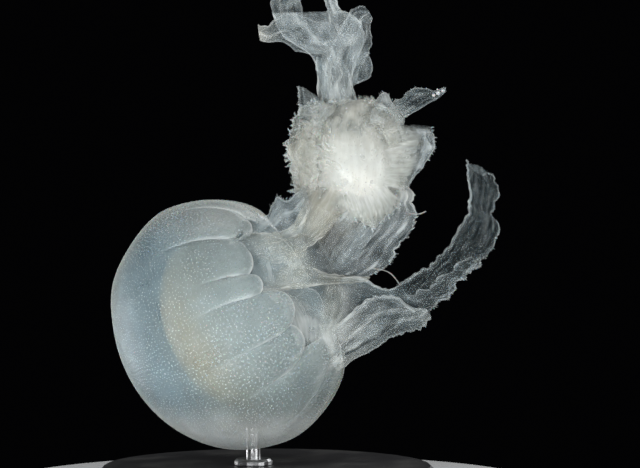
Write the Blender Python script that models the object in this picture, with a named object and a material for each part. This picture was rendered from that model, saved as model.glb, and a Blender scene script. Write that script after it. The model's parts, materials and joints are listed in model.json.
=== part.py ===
"""Life-size display model of a pale jellyfish lying on its side in the water, above a plain stand.

The bell points down and to the left, its mouth up and to the right. Four frilled oral arms leave
the mouth: the first rises through a dense frilled mass to a crown, the others trail to the right.
Sizes are in millimetres here and become metres when a mesh is made. The origin is the centre of
the underside of the stand, +Z is up and the viewer stands at -Y.
"""

import math

import bmesh
import bpy
import numpy as np

MM = 0.001
GAP = 0.3  # clearance between touching pieces

# The stand: a round weighted base and one short rod, which ends in a socket in the bell.
BASE_RADIUS = 70.0
BASE_HEIGHT = 8.0
BASE_EDGE = 1.5
ROD_RADIUS = 3.0
ROD_X = -6.0
ROD_IN_BASE = 5.0
ROD_IN_BELL = 9.0
COLLAR_RADIUS = 8.0
COLLAR_HEIGHT = 2.5

# The bell: a thick dome on a tilted axis that runs from its apex to its opening.
BELL_CENTRE = np.array([-14.5, 0.0, 68.5])
BELL_RISE = math.radians(26.0)
BELL_TURN = math.radians(8.0)
APEX_RADIUS = 49.3
WAIST_RADIUS = 54.6
MARGIN_RADIUS = 48.0
MARGIN_SAG = 2.3  # the margin hangs lower than the axis by this much
WAIST_ANGLE = math.radians(85.0)
MARGIN_ANGLE = math.radians(131.0)
APEX_THICKNESS = 21.5
MARGIN_THICKNESS = 3.0
THINNING = 2.2
DOME_ANGLE = math.radians(104.0)
LOBES = 8
FURROW_DEPTH = 1.6
FURROW_START = math.radians(55.0)
DOME_SEGMENTS = 32
OUTER_RINGS = 10
INNER_RINGS = 7

# The margin: each lobe ends in two round lappets.
CLEFT_ANGLE = math.radians(126.0)
LAPPET_ANGLE = math.radians(137.0)
LAPPET_THICKNESS = 1.2
LAPPET_SPREAD = 2.2  # how far neighbouring lobes stand apart at their free edge
LOBE_COLUMNS = 9
LOBE_ROWS = 4

# The muscle lining of the bell.
LINING_THICKNESS = 1.4

# The manubrium: (distance along the axis from the bell's centre, radius) from root to mouth.
MANUBRIUM_PROFILE = [(-23.4, 14.0), (-19.0, 16.5), (-8.0, 15.5), (6.0, 17.0), (20.0, 21.0),
                     (32.0, 25.0), (41.0, 23.5), (47.0, 17.5)]
MANUBRIUM_ROOT = 2.2
MANUBRIUM_CORNERS = 0.10
MANUBRIUM_SEGMENTS = 24

# The dense frilled mass on the first arm.
MASS_CENTRE = np.array([36.8, 2.0, 137.0])
MASS_RADII = np.array([25.5, 20.5, 26.5])


def unit(vector):
    """The vector at length one."""
    vector = np.asarray(vector, float)
    return vector / np.linalg.norm(vector)


AXIS = np.array([math.cos(BELL_RISE) * math.cos(BELL_TURN), -math.sin(BELL_TURN),
                 math.sin(BELL_RISE) * math.cos(BELL_TURN)])
FAR = unit(np.array([0.0, 1.0, 0.0]) - AXIS[1] * AXIS)
UP = np.cross(AXIS, FAR)


def clear_scene():
    """Empties the file of objects."""
    for thing in list(bpy.data.objects):
        bpy.data.objects.remove(thing, do_unlink=True)


def material(name, colour, roughness, metallic=0.0, alpha=1.0):
    """A Principled material of one colour, made once for each name."""
    found = bpy.data.materials.get(name)
    if found:
        return found
    made = bpy.data.materials.new(name)
    made.use_nodes = True
    shader = made.node_tree.nodes["Principled BSDF"]
    shader.inputs["Base Color"].default_value = (*colour, 1.0)
    shader.inputs["Roughness"].default_value = roughness
    shader.inputs["Metallic"].default_value = metallic
    shader.inputs["Alpha"].default_value = alpha
    return made


def bell_jelly():
    """Blue-grey jelly of the bell."""
    return material("bell_jelly", (0.27, 0.33, 0.35), 0.25)


def arm_tissue():
    """Thin grey tissue of the arms."""
    return material("arm_tissue", (0.22, 0.26, 0.27), 0.3)


def frill_tissue():
    """Dense white frilled tissue."""
    return material("frill_tissue", (0.78, 0.77, 0.70), 0.35)


def lining_muscle():
    """Cream muscle and mouth tissue."""
    return material("lining_muscle", (0.42, 0.43, 0.36), 0.35)


def stand_metal():
    """Dark painted metal of the base."""
    return material("stand_base_paint", (0.03, 0.03, 0.032), 0.45)


def rod_metal():
    """Brushed steel of the rod."""
    return material("stand_rod_steel", (0.55, 0.56, 0.57), 0.3, metallic=1.0)


def solid(name, points, faces, finish, sharp=math.radians(50)):
    """One closed smooth-shaded body from points in millimetres."""
    mesh = bpy.data.meshes.new(name)
    mesh.from_pydata([tuple(float(c) * MM for c in p) for p in points], [], faces)
    work = bmesh.new()
    work.from_mesh(mesh)
    bmesh.ops.recalc_face_normals(work, faces=work.faces)
    work.to_mesh(mesh)
    work.free()
    mesh.shade_smooth()
    mesh.set_sharp_from_angle(angle=sharp)
    mesh.materials.append(finish)
    thing = bpy.data.objects.new(name, mesh)
    bpy.context.scene.collection.objects.link(thing)
    return thing


def loft(name, rings, finish, first=None, last=None):
    """A body through closed rings of equal length, shut at each end by a point or a flat cap."""
    around = len(rings[0])
    points = [p for ring in rings for p in ring]
    faces = []
    for row in range(len(rings) - 1):
        for i in range(around):
            j = (i + 1) % around
            a, b = row * around, (row + 1) * around
            faces.append((a + i, a + j, b + j, b + i))
    for pole, start in ((first, 0), (last, (len(rings) - 1) * around)):
        if pole is None:
            faces.append(tuple(range(start, start + around)))
            continue
        points.append(pole)
        tip = len(points) - 1
        faces.extend((start + i, start + (i + 1) % around, tip) for i in range(around))
    return solid(name, points, faces, finish)


def slab(name, upper, lower, finish):
    """A closed plate between two grids of points of the same shape."""
    rows, columns = upper.shape[:2]
    points = np.concatenate([upper.reshape(-1, 3), lower.reshape(-1, 3)])
    under = rows * columns

    def at(r, c):
        return r * columns + c

    faces = []
    for r in range(rows - 1):
        for c in range(columns - 1):
            quad = (at(r, c), at(r, c + 1), at(r + 1, c + 1), at(r + 1, c))
            faces.append(quad)
            faces.append(tuple(under + k for k in reversed(quad)))
    border = [at(0, c) for c in range(columns)]
    border += [at(r, columns - 1) for r in range(1, rows)]
    border += [at(rows - 1, c) for c in range(columns - 2, -1, -1)]
    border += [at(r, 0) for r in range(rows - 2, 0, -1)]
    for i, a in enumerate(border):
        b = border[(i + 1) % len(border)]
        faces.append((b, a, a + under, b + under))
    return solid(name, points, faces, finish)


def turned(name, profile, centre_x, finish, segments):
    """A body turned about a vertical line from (radius, height) points that start and end at 0."""
    rings = []
    for radius, height in profile[1:-1]:
        angles = [2 * math.pi * i / segments for i in range(segments)]
        rings.append([(centre_x + radius * math.cos(a), radius * math.sin(a), height)
                      for a in angles])
    first = (centre_x, 0.0, profile[0][1])
    last = (centre_x, 0.0, profile[-1][1])
    return loft(name, rings, finish, first, last)


def cut(thing, cutter):
    """Takes the cutter out of the thing and leaves the cutter as a hidden guide."""
    cutter.hide_render = True
    cutter.display_type = "WIRE"
    boolean = thing.modifiers.new("cut", "BOOLEAN")
    boolean.operation = "DIFFERENCE"
    boolean.solver = "EXACT"
    boolean.object = cutter


# ---------------------------------------------------------------- stand


def build_stand():
    """The base and the rod with its collar."""
    socket = ROD_RADIUS + GAP
    floor = BASE_HEIGHT - ROD_IN_BASE
    base = [(0.0, 0.0), (BASE_RADIUS - BASE_EDGE, 0.0), (BASE_RADIUS, BASE_EDGE),
            (BASE_RADIUS, BASE_HEIGHT - BASE_EDGE), (BASE_RADIUS - BASE_EDGE, BASE_HEIGHT)]
    disc = turned("stand_base", [*base, (0.0, BASE_HEIGHT)], 0.0, stand_metal(), 40)
    hole = [(0.0, floor), (socket, floor), (socket, BASE_HEIGHT + 5.0), (0.0, BASE_HEIGHT + 5.0)]
    cut(disc, turned("guide_base_socket", hole, ROD_X, stand_metal(), 24))

    foot = floor + GAP
    collar = BASE_HEIGHT + GAP
    top = rod_top()
    rod = [(0.0, foot), (ROD_RADIUS, foot), (ROD_RADIUS, collar), (COLLAR_RADIUS, collar),
           (COLLAR_RADIUS, collar + 0.6 * COLLAR_HEIGHT),
           (COLLAR_RADIUS - 1.0, collar + COLLAR_HEIGHT),
           (ROD_RADIUS, collar + COLLAR_HEIGHT), (ROD_RADIUS, top), (0.0, top)]
    turned("stand_rod", rod, ROD_X, rod_metal(), 20)


def bell_underside(x):
    """Height of the bell's lowest skin above the base at a place along X."""
    low, high = 0.0, BELL_CENTRE[2]
    for _ in range(40):
        middle = (low + high) / 2
        away = np.array([x, 0.0, middle]) - BELL_CENTRE
        from_apex = math.acos(float(np.dot(unit(away), -AXIS)))
        if np.linalg.norm(away) > outer_radius(from_apex, 0.0, furrows=False):
            low = middle
        else:
            high = middle
    return high


def rod_top():
    """Height of the rod's upper end, inside the bell's socket."""
    return bell_underside(ROD_X) + ROD_IN_BELL


# ---------------------------------------------------------------- bell


def outer_radius(angle, around, furrows=True):
    """Distance of the outer skin from the bell's centre, by angle from the apex and round it."""
    if angle < WAIST_ANGLE:
        part = math.sin(math.pi / 2 * angle / WAIST_ANGLE) ** 2
        radius = APEX_RADIUS + (WAIST_RADIUS - APEX_RADIUS) * part
    else:
        part = (angle - WAIST_ANGLE) / (MARGIN_ANGLE - WAIST_ANGLE)
        radius = WAIST_RADIUS - (WAIST_RADIUS - MARGIN_RADIUS) * part * part
        radius -= MARGIN_SAG * math.cos(around) * part ** 0.7
    if furrows and angle > FURROW_START:
        grow = min(1.0, (angle - FURROW_START) / (MARGIN_ANGLE - FURROW_START))
        radius -= FURROW_DEPTH * grow * (0.5 + 0.5 * math.cos(LOBES * around)) ** 3
    return radius


def wall_thickness(angle):
    """Thickness of the bell's wall, by angle from the apex."""
    part = min(1.0, angle / MARGIN_ANGLE)
    wall = MARGIN_THICKNESS + (APEX_THICKNESS - MARGIN_THICKNESS) * (1 - part ** THINNING)
    if angle > CLEFT_ANGLE:
        fade = min(1.0, (angle - CLEFT_ANGLE) / (LAPPET_ANGLE - CLEFT_ANGLE))
        wall += (LAPPET_THICKNESS - wall) * fade
    return wall


def bell_point(radius, angle, around):
    """The point at a distance from the bell's centre, an angle from the apex and one round it."""
    across = math.cos(around) * UP + math.sin(around) * FAR
    return BELL_CENTRE + radius * (-math.cos(angle) * AXIS + math.sin(angle) * across)


def bell_ring(angle, segments, inset=0.0, inner=False):
    """A ring of the bell's skin, or of its inner wall moved inwards by inset."""
    ring = []
    for i in range(segments):
        around = 2 * math.pi * i / segments
        radius = outer_radius(angle, around)
        if inner:
            radius -= wall_thickness(angle) + inset
        ring.append(bell_point(radius, angle, around))
    return ring


def build_dome():
    """The thick dome of jelly, hollow below, with a socket for the rod."""
    outward = [DOME_ANGLE * k / OUTER_RINGS for k in range(1, OUTER_RINGS + 1)]
    inward = [DOME_ANGLE * k / INNER_RINGS for k in range(INNER_RINGS, 0, -1)]
    rings = [bell_ring(a, DOME_SEGMENTS) for a in outward]
    rings += [bell_ring(a, DOME_SEGMENTS, inner=True) for a in inward]
    first = bell_point(APEX_RADIUS, 0.0, 0.0)
    last = bell_point(APEX_RADIUS - wall_thickness(0.0), 0.0, 0.0)
    dome = loft("umbrella_dome", rings, bell_jelly(), first, last)
    socket = ROD_RADIUS + GAP
    top = rod_top() + GAP
    profile = [(0.0, BASE_HEIGHT), (socket, BASE_HEIGHT), (socket, top), (0.0, top)]
    cut(dome, turned("guide_dome_socket", profile, ROD_X, bell_jelly(), 24))


def build_lobe(index):
    """One margin lobe, whose free edge is two round lappets."""
    middle = 2 * math.pi * (index + 0.5) / LOBES
    columns, rows = LOBE_COLUMNS, LOBE_ROWS
    start = DOME_ANGLE + GAP / WAIST_RADIUS
    upper = np.zeros((rows, columns, 3))
    lower = np.zeros((rows, columns, 3))
    for c in range(columns):
        side = -1.0 + 2.0 * c / (columns - 1)
        place = 2.0 * abs(side) - 1.0
        round_edge = math.sqrt(max(0.0, 1.0 - place * place))
        tip = CLEFT_ANGLE + (LAPPET_ANGLE - CLEFT_ANGLE) * round_edge
        for r in range(rows):
            down = r / (rows - 1)
            angle = start + (tip - start) * down
            open_gap = GAP + LAPPET_SPREAD * down * down
            half = math.pi / LOBES - open_gap / (2 * WAIST_RADIUS * math.sin(angle))
            around = middle + side * half
            radius = outer_radius(angle, around)
            upper[r, c] = bell_point(radius, angle, around)
            lower[r, c] = bell_point(radius - wall_thickness(angle), angle, around)
    slab(f"margin_lobe_{index + 1}", upper, lower, bell_jelly())


def build_lining():
    """The thin muscle lining inside the dome."""
    angles = [DOME_ANGLE * k / INNER_RINGS for k in range(1, INNER_RINGS + 1)]
    near = [bell_ring(a, DOME_SEGMENTS, GAP, inner=True) for a in angles]
    deep = [bell_ring(a, DOME_SEGMENTS, GAP + LINING_THICKNESS, inner=True)
            for a in reversed(angles)]
    inside = APEX_RADIUS - wall_thickness(0.0) - GAP
    first = bell_point(inside, 0.0, 0.0)
    last = bell_point(inside - LINING_THICKNESS, 0.0, 0.0)
    loft("subumbrella_lining", near + deep, lining_muscle(), first, last)


# ---------------------------------------------------------------- manubrium and frilled mass


def manubrium_rings(grow=0.0):
    """Rings of the four-cornered manubrium, enlarged by grow."""
    rings = []
    for along, radius in MANUBRIUM_PROFILE:
        ring = []
        for i in range(MANUBRIUM_SEGMENTS):
            around = 2 * math.pi * i / MANUBRIUM_SEGMENTS
            corner = 1.0 - MANUBRIUM_CORNERS * math.cos(4 * around)
            across = math.cos(around) * UP + math.sin(around) * FAR
            ring.append(BELL_CENTRE + along * AXIS + (radius * corner + grow) * across)
        rings.append(ring)
    return rings


def build_manubrium():
    """The wide stalk from the roof of the bell to the mouth, and the guide that clears it."""
    root = BELL_CENTRE + (MANUBRIUM_PROFILE[0][0] - MANUBRIUM_ROOT) * AXIS
    mouth = BELL_CENTRE + (MANUBRIUM_PROFILE[-1][0] + 1.0) * AXIS
    loft("manubrium", manubrium_rings(), lining_muscle(), root, mouth)
    return loft("guide_manubrium", manubrium_rings(GAP), lining_muscle(),
                root - GAP * AXIS, mouth + GAP * AXIS)


def mass_rings(grow=0.0, segments=26, steps=12):
    """Rings of the lumpy frilled mass, enlarged by grow."""
    rings = []
    for k in range(1, steps):
        tilt = math.pi * k / steps
        ring = []
        for i in range(segments):
            around = 2 * math.pi * i / segments
            lump = 1.0 + 0.050 * math.sin(5 * around + 1.7) * math.sin(3 * tilt + 0.4)
            lump += 0.035 * math.sin(3 * around - 2.2 * tilt)
            lump += 0.030 * math.sin(7 * around + 4 * tilt) * math.sin(tilt)
            way = np.array([math.sin(tilt) * math.cos(around), math.sin(tilt) * math.sin(around),
                            math.cos(tilt)])
            ring.append(MASS_CENTRE + way * (MASS_RADII * lump + grow))
        rings.append(ring)
    return rings


def build_mass():
    """The dense mass of gathered frills, and the guide that clears it."""
    top = np.array([0.0, 0.0, MASS_RADII[2]])
    loft("arm_1_frill_mass", mass_rings(), frill_tissue(), MASS_CENTRE + top, MASS_CENTRE - top)
    lift = np.array([0.0, 0.0, GAP])
    return loft("guide_mass", mass_rings(1.5 * GAP), frill_tissue(), MASS_CENTRE + top + lift,
                MASS_CENTRE - top - lift)


# ---------------------------------------------------------------- arms


def along(values, u):
    """Smooth interpolation of a list at u from 0 to 1."""
    values = np.asarray(values, float)
    last = len(values) - 1
    place = min(max(u, 0.0), 1.0) * last
    k = min(int(place), last - 1)
    t = place - k
    before = values[max(k - 1, 0)]
    here, there = values[k], values[k + 1]
    after = values[min(k + 2, last)]
    slope_a, slope_b = (there - before) / 2, (after - here) / 2
    t2, t3 = t * t, t * t * t
    return ((2 * t3 - 3 * t2 + 1) * here + (t3 - 2 * t2 + t) * slope_a
            + (3 * t2 - 2 * t3) * there + (t3 - t2) * slope_b)


def heading(route, u):
    """The direction of a route at u from 0 to 1."""
    step = 0.01
    return unit(along(route, min(u + step, 1.0)) - along(route, max(u - step, 0.0)))


TOWARDS_VIEWER = (0.0, -1.0, 0.0)
THINNEST = 0.6  # least thickness of a ribbon of tissue
TAPER = 0.45  # part of its thickness that a ribbon loses towards its tip


class Ribbon:
    """A tapering frilled ribbon of tissue that follows a route.

    route: points of its midrib. widths: half widths, in step with the route. facing: the way its
    broad face looks, one vector or one for each point. fold: how far its edges lift, as a part of
    the half width. ruffle: swing of its edges. waves: waves of the ruffle. rib, edge: thicknesses.
    """

    def __init__(self, route, widths, facing, fold, ruffle, waves, rib, edge):
        self.route = route
        self.widths = widths
        self.facing = facing if isinstance(facing, list) else [facing] * len(route)
        self.fold = fold
        self.ruffle = ruffle
        self.waves = waves
        self.rib = rib
        self.edge = edge

    def frame(self, u):
        """Midrib point, direction across and direction out of the face."""
        way = heading(self.route, u)
        across = unit(np.cross(way, along(self.facing, u)))
        return along(self.route, u), across, np.cross(across, way)

    def middle(self, u, v):
        """The point of the ribbon's mid surface, u along it and v from -1 to 1 across."""
        point, across, out = self.frame(u)
        turn = 2 * math.pi * self.waves * u + (0.0 if v > 0 else 1.9)
        half = along(self.widths, u) * (1 + 0.10 * math.sin(1.7 * turn + 0.5))
        swing = self.ruffle * min(1.0, 3 * u) * abs(v) ** 1.6 * math.sin(turn)
        lift = self.fold * half * abs(v) ** 1.5 + swing
        return point + across * half * v + out * lift

    def length(self, name, start, end, rows, columns, finish, grow=0.0):
        """The closed solid of one length of the ribbon."""
        mid = np.zeros((rows, columns, 3))
        sides = np.zeros((rows, columns, 3))
        for r in range(rows):
            u = start + (end - start) * r / (rows - 1)
            for c in range(columns):
                v = -1 + 2 * c / (columns - 1)
                step = 0.01
                down = self.middle(min(u + step, 1.0), v) - self.middle(max(u - step, 0.0), v)
                over = self.middle(u, v + step) - self.middle(u, v - step)
                thick = self.edge + (self.rib - self.edge) * (1 - v * v)
                thick = max(thick * (1.0 - TAPER * u), THINNEST)
                mid[r, c] = self.middle(u, v)
                sides[r, c] = unit(np.cross(over, down)) * (thick / 2 + grow)
        return slab(name, mid + sides, mid - sides, finish)


LENGTH_GAP = 0.009  # part of an arm's run left open between two of its lengths

PILLAR_ROUTE = [(17.5, -9.0, 84.0), (17.5, -10.0, 96.0), (22.0, -8.0, 106.0), (29.0, -4.0, 117.0),
                (34.0, 0.0, 127.0)]
PILLAR_RADII = [(9.0, 6.0), (10.5, 7.0), (11.5, 7.5), (12.5, 8.0), (12.0, 8.0)]

CROWN = Ribbon(
    route=[(36.0, 3.0, 151.0), (32.5, 5.0, 162.0), (30.5, 7.0, 170.0), (31.0, 7.0, 178.0),
           (27.0, 6.0, 185.5), (19.0, 3.0, 193.0), (11.5, -2.0, 200.5), (7.5, -6.0, 209.5),
           (9.0, -4.0, 219.0)],
    widths=[9.0, 7.0, 6.3, 10.0, 12.5, 11.0, 8.0, 5.5, 2.0],
    facing=[(0.1, -1, 0), (0.1, -1, 0), (0.3, -1, 0), (0.4, -1, 0), (0.2, -1, 0.2),
            (-0.1, -1, 0.3), (-0.3, -1, 0.2), (-0.3, -1, 0), (0, -1, 0)],
    fold=0.35, ruffle=2.2, waves=5.0, rib=3.6, edge=1.2)

STRAND = Ribbon(
    route=[(33.0, 11.0, 173.0), (35.5, 13.0, 182.0), (34.5, 15.0, 191.0), (29.5, 15.0, 200.0),
           (26.5, 12.0, 209.0), (28.5, 7.0, 216.5)],
    widths=[5.0, 8.5, 9.0, 6.5, 4.0, 1.8],
    facing=(-0.2, -1.0, 0.0), fold=-0.3, ruffle=1.6, waves=3.0, rib=2.6, edge=1.0)

ARM_2 = Ribbon(
    route=[(24.0, 5.0, 92.0), (35.0, 10.0, 94.5), (44.5, 14.5, 99.5), (51.5, 16.5, 107.0),
           (57.0, 15.5, 116.0), (60.0, 12.0, 125.5)],
    widths=[7.0, 8.0, 9.5, 9.5, 7.0, 2.5],
    facing=[(0, -1, 0.2), (0.1, -1, 0.2), (0.2, -1, 0.1), (0.3, -1, 0), (0.3, -1, 0), (0.3, -1, 0)],
    fold=0.3, ruffle=1.8, waves=3.0, rib=3.2, edge=1.1)

ARM_3 = Ribbon(
    route=[(29.0, 5.0, 79.0), (40.0, 8.0, 76.5), (51.0, 10.0, 77.0), (61.5, 9.0, 80.0),
           (71.5, 6.0, 87.0), (79.0, 2.5, 94.0), (85.5, -1.5, 101.0), (89.5, -4.0, 110.5),
           (90.5, -4.5, 118.5), (90.5, -3.0, 126.0), (86.0, 1.0, 135.0)],
    widths=[6.0, 6.0, 6.0, 7.3, 7.6, 6.6, 7.4, 6.4, 5.8, 5.4, 1.6],
    facing=[(0, -1, 0.2), (0, -1, 0.3), (0, -1, 0.2), (0.1, -1, 0), (0.3, -1, -0.1),
            (0.4, -1, -0.2), (0.3, -1, -0.1), (0.1, -1, 0), (-0.1, -1, 0), (-0.3, -1, 0.1),
            (-0.4, -1, 0.1)],
    fold=0.3, ruffle=1.7, waves=5.0, rib=2.6, edge=0.9)

ARM_4 = Ribbon(
    route=[(25.0, -10.5, 69.5), (33.5, -16.0, 67.0), (43.0, -21.0, 68.0), (52.0, -22.0, 70.5),
           (60.0, -21.0, 71.8), (67.0, -18.0, 72.5)],
    widths=[7.0, 11.6, 10.2, 7.6, 4.6, 1.6],
    facing=[(0, -1, 0.1), (0, -1, 0.2), (0, -1, 0.2), (0.1, -1, 0.1), (0.1, -1, 0), (0.2, -1, 0)],
    fold=0.4, ruffle=1.6, waves=3.0, rib=3.6, edge=1.2)

FLAP_LEFT = Ribbon(
    route=[(24.0, -8.0, 113.0), (16.0, -12.0, 113.5), (8.5, -14.5, 113.5), (2.0, -14.0, 114.5),
           (-1.0, -12.0, 116.0)],
    widths=[5.0, 5.4, 4.8, 3.4, 1.2],
    facing=(0.0, -1.0, 0.1), fold=0.25, ruffle=1.2, waves=2.5, rib=1.8, edge=0.9)

FLAP_TOP = Ribbon(
    route=[(47.0, 4.0, 149.0), (54.0, 3.0, 156.0), (60.5, 1.0, 160.5), (67.5, -2.0, 163.8),
           (73.8, -4.0, 165.6)],
    widths=[5.0, 5.0, 4.6, 3.2, 1.2],
    facing=(0.1, -1.0, 0.1), fold=0.25, ruffle=1.0, waves=2.5, rib=1.8, edge=0.9)

FLAP_SIDE = Ribbon(
    route=[(54.0, 2.0, 127.0), (60.0, 1.0, 133.0), (64.0, 0.0, 140.0), (65.0, -1.0, 149.5)],
    widths=[6.0, 7.0, 6.0, 2.6],
    facing=(0.2, -1.0, 0.0), fold=0.25, ruffle=1.0, waves=2.0, rib=2.0, edge=1.0)

FLAP_SPUR = Ribbon(
    route=[(30.0, -2.0, 146.0), (24.0, -4.5, 153.5), (18.0, -6.0, 160.5), (13.5, -6.5, 167.0)],
    widths=[8.0, 7.6, 5.0, 1.3],
    facing=(0.0, -1.0, 0.1), fold=0.25, ruffle=1.0, waves=2.0, rib=2.2, edge=1.0)

FLAP_CROWN = Ribbon(
    route=[(18.0, -3.5, 187.5), (9.5, -5.0, 188.3), (2.0, -5.5, 189.3), (-4.0, -5.0, 191.8)],
    widths=[5.6, 5.0, 3.6, 1.2],
    facing=(-0.1, -1.0, 0.0), fold=0.25, ruffle=1.0, waves=2.0, rib=1.8, edge=0.9)

THREADS = {
    "thread_short": [(57.5, -6.0, 114.5), (60.5, -7.5, 112.6), (63.5, -7.5, 112.4),
                     (66.0, -7.0, 114.8)],
    "thread_loop": [(44.0, 1.0, 90.5), (48.0, -0.5, 90.0), (51.5, -1.5, 88.5), (54.0, -1.5, 85.8),
                    (55.5, -0.5, 83.6)],
}
THREAD_RADIUS = 0.45


def build_pillar():
    """The thick foot of the first arm, from the mouth's upper corner to the frilled mass."""
    rings = []
    rows, around = 9, 16
    for r in range(rows):
        u = r / (rows - 1)
        way = heading(PILLAR_ROUTE, u)
        across = unit(np.cross(way, TOWARDS_VIEWER))
        out = np.cross(across, way)
        wide, deep = along(PILLAR_RADII, u)
        ring = []
        for i in range(around):
            turn = 2 * math.pi * i / around
            pleat = 1 + 0.07 * math.sin(3 * turn + 2 * u)
            ring.append(along(PILLAR_ROUTE, u) + pleat * (across * wide * math.cos(turn)
                                                         + out * deep * math.sin(turn)))
        rings.append(ring)
    return loft("arm_1_pillar", rings, arm_tissue())


def build_thread(name, route):
    """A fine digestive thread, round and closed."""
    rings = []
    rows, around = 12, 6
    for r in range(rows):
        u = r / (rows - 1)
        way = heading(route, u)
        across = unit(np.cross(way, TOWARDS_VIEWER))
        out = np.cross(across, way)
        ring = [along(route, u) + THREAD_RADIUS * (across * math.cos(2 * math.pi * i / around)
                                                  + out * math.sin(2 * math.pi * i / around))
                for i in range(around)]
        rings.append(ring)
    return loft(name, rings, frill_tissue())


def build_arms(clear_of_mouth, clear_of_mass):
    """All four arms in lengths, their flaps and threads, cut clear of the mouth and the mass."""
    pillar = build_pillar()
    cut(pillar, clear_of_mouth)
    cut(pillar, clear_of_mass)

    neck = CROWN.length("arm_1_neck", 0.0, 0.28 - LENGTH_GAP, 10, 7, arm_tissue())
    cut(neck, clear_of_mass)
    CROWN.length("arm_1_crown", 0.28, 0.75 - LENGTH_GAP, 15, 7, arm_tissue())
    CROWN.length("arm_1_tip", 0.75, 1.0, 10, 7, arm_tissue())
    clear_of_crown = CROWN.length("guide_crown", 0.2, 0.9, 30, 7, arm_tissue(), grow=2 * GAP)
    cut(STRAND.length("arm_1_strand", 0.0, 1.0, 18, 5, arm_tissue()), clear_of_crown)
    cut(FLAP_CROWN.length("flap_crown", 0.0, 1.0, 10, 5, arm_tissue()), clear_of_crown)

    lengths = (("arm_2", ARM_2, (0.0, 0.52, 1.0), (9, 9)),
               ("arm_3", ARM_3, (0.0, 0.36, 0.68, 1.0), (11, 11, 11)),
               ("arm_4", ARM_4, (0.0, 0.55, 1.0), (9, 9)))
    for name, ribbon, marks, rows in lengths:
        parts = ("base", "middle", "tip") if len(rows) == 3 else ("base", "tip")
        for k, part in enumerate(parts):
            end = marks[k + 1] - (LENGTH_GAP if k < len(rows) - 1 else 0.0)
            piece = ribbon.length(f"{name}_{part}", marks[k], end, rows[k], 7, arm_tissue())
            if k == 0:
                cut(piece, clear_of_mouth)
            if piece.name == "arm_2_tip":
                cut(piece, clear_of_mass)

    flap = FLAP_LEFT.length("flap_left", 0.0, 1.0, 12, 5, arm_tissue())
    cut(flap, build_guide_pillar())
    for name, ribbon in (("flap_top", FLAP_TOP), ("flap_side", FLAP_SIDE),
                         ("flap_spur", FLAP_SPUR)):
        cut(ribbon.length(name, 0.0, 1.0, 11, 5, arm_tissue()), clear_of_mass)
    for name, route in THREADS.items():
        build_thread(name, route)


def build_guide_pillar():
    """A slightly larger copy of the pillar, which clears what grows from it."""
    pillar = bpy.data.objects["arm_1_pillar"]
    mesh = pillar.data.copy()
    points = np.array([v.co for v in mesh.vertices])
    middle = np.array([along(PILLAR_ROUTE, 0.55)]) * MM
    for vertex, point in zip(mesh.vertices, points):
        away = point - middle[0]
        vertex.co = point + away / np.linalg.norm(away) * GAP * MM
    guide = bpy.data.objects.new("guide_pillar", mesh)
    bpy.context.scene.collection.objects.link(guide)
    return guide


def main():
    """Builds the stand and the animal."""
    clear_scene()
    build_stand()
    build_dome()
    for index in range(LOBES):
        build_lobe(index)
    build_lining()
    clear_of_mouth = build_manubrium()
    clear_of_mass = build_mass()
    build_arms(clear_of_mouth, clear_of_mass)


main()
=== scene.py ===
"""Looks of a life-size display model of a pale jellyfish on a plain stand.

The flesh is one closed skin: bell, mouth stalk, pillar, frilled mass, arms and flaps are joined
into a single mesh and shaded by masks kept on its points. Warts, finer grains, frill leaves,
fringes and threads are made by Geometry Nodes. Lengths are millimetres until a mesh is made.
"""

import json
import logging
import math
from dataclasses import dataclass, field, replace
from enum import Enum

import bmesh
import bpy
import numpy as np
from mathutils import Matrix, Vector, kdtree

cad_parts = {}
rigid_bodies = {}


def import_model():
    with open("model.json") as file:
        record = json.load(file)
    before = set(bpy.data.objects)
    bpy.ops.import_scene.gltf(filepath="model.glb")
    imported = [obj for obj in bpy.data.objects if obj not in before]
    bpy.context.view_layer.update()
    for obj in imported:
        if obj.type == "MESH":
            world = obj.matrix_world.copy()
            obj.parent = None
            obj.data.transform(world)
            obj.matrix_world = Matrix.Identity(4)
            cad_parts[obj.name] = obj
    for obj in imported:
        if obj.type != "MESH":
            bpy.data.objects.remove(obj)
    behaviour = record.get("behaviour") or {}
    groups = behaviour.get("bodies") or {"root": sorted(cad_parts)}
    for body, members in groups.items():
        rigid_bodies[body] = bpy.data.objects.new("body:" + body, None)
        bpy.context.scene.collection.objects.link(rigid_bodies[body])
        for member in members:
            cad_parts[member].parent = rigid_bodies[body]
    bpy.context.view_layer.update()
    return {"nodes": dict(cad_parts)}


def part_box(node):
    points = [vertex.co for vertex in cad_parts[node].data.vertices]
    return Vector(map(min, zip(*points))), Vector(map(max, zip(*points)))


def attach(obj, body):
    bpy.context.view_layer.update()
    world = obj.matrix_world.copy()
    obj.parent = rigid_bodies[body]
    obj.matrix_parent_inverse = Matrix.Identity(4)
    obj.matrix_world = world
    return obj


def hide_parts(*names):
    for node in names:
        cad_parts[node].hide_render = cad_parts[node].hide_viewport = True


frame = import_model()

MM = 0.001
BODY = "root"
FLESH_NODES = [name for name in frame["nodes"] if not name.startswith("stand_")]
MASKS = ("cream", "white", "cover", "fibre")
WATERY_IOR = 1.36
FRINGE_CELLS = 36  # side by side in the fringes' baked picture, one for each veil
FULL_TURN = 2 * math.pi
LOG = logging.getLogger("jellyfish")

Array = np.ndarray
Triple = tuple[float, float, float]


# ------------------------------------------------------------------ numbers and shapes


def unit(vectors: Array) -> Array:
    """Vectors, which an array's last axis holds, at length one."""
    vectors = np.asarray(vectors, float)
    return vectors / np.maximum(np.linalg.norm(vectors, axis=-1, keepdims=True), 1e-9)


def ease(values: Array) -> Array:
    """Smooth step of values from 0 to 1, held at both ends."""
    t = np.clip(values, 0.0, 1.0)
    return t * t * (3.0 - 2.0 * t)


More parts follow.
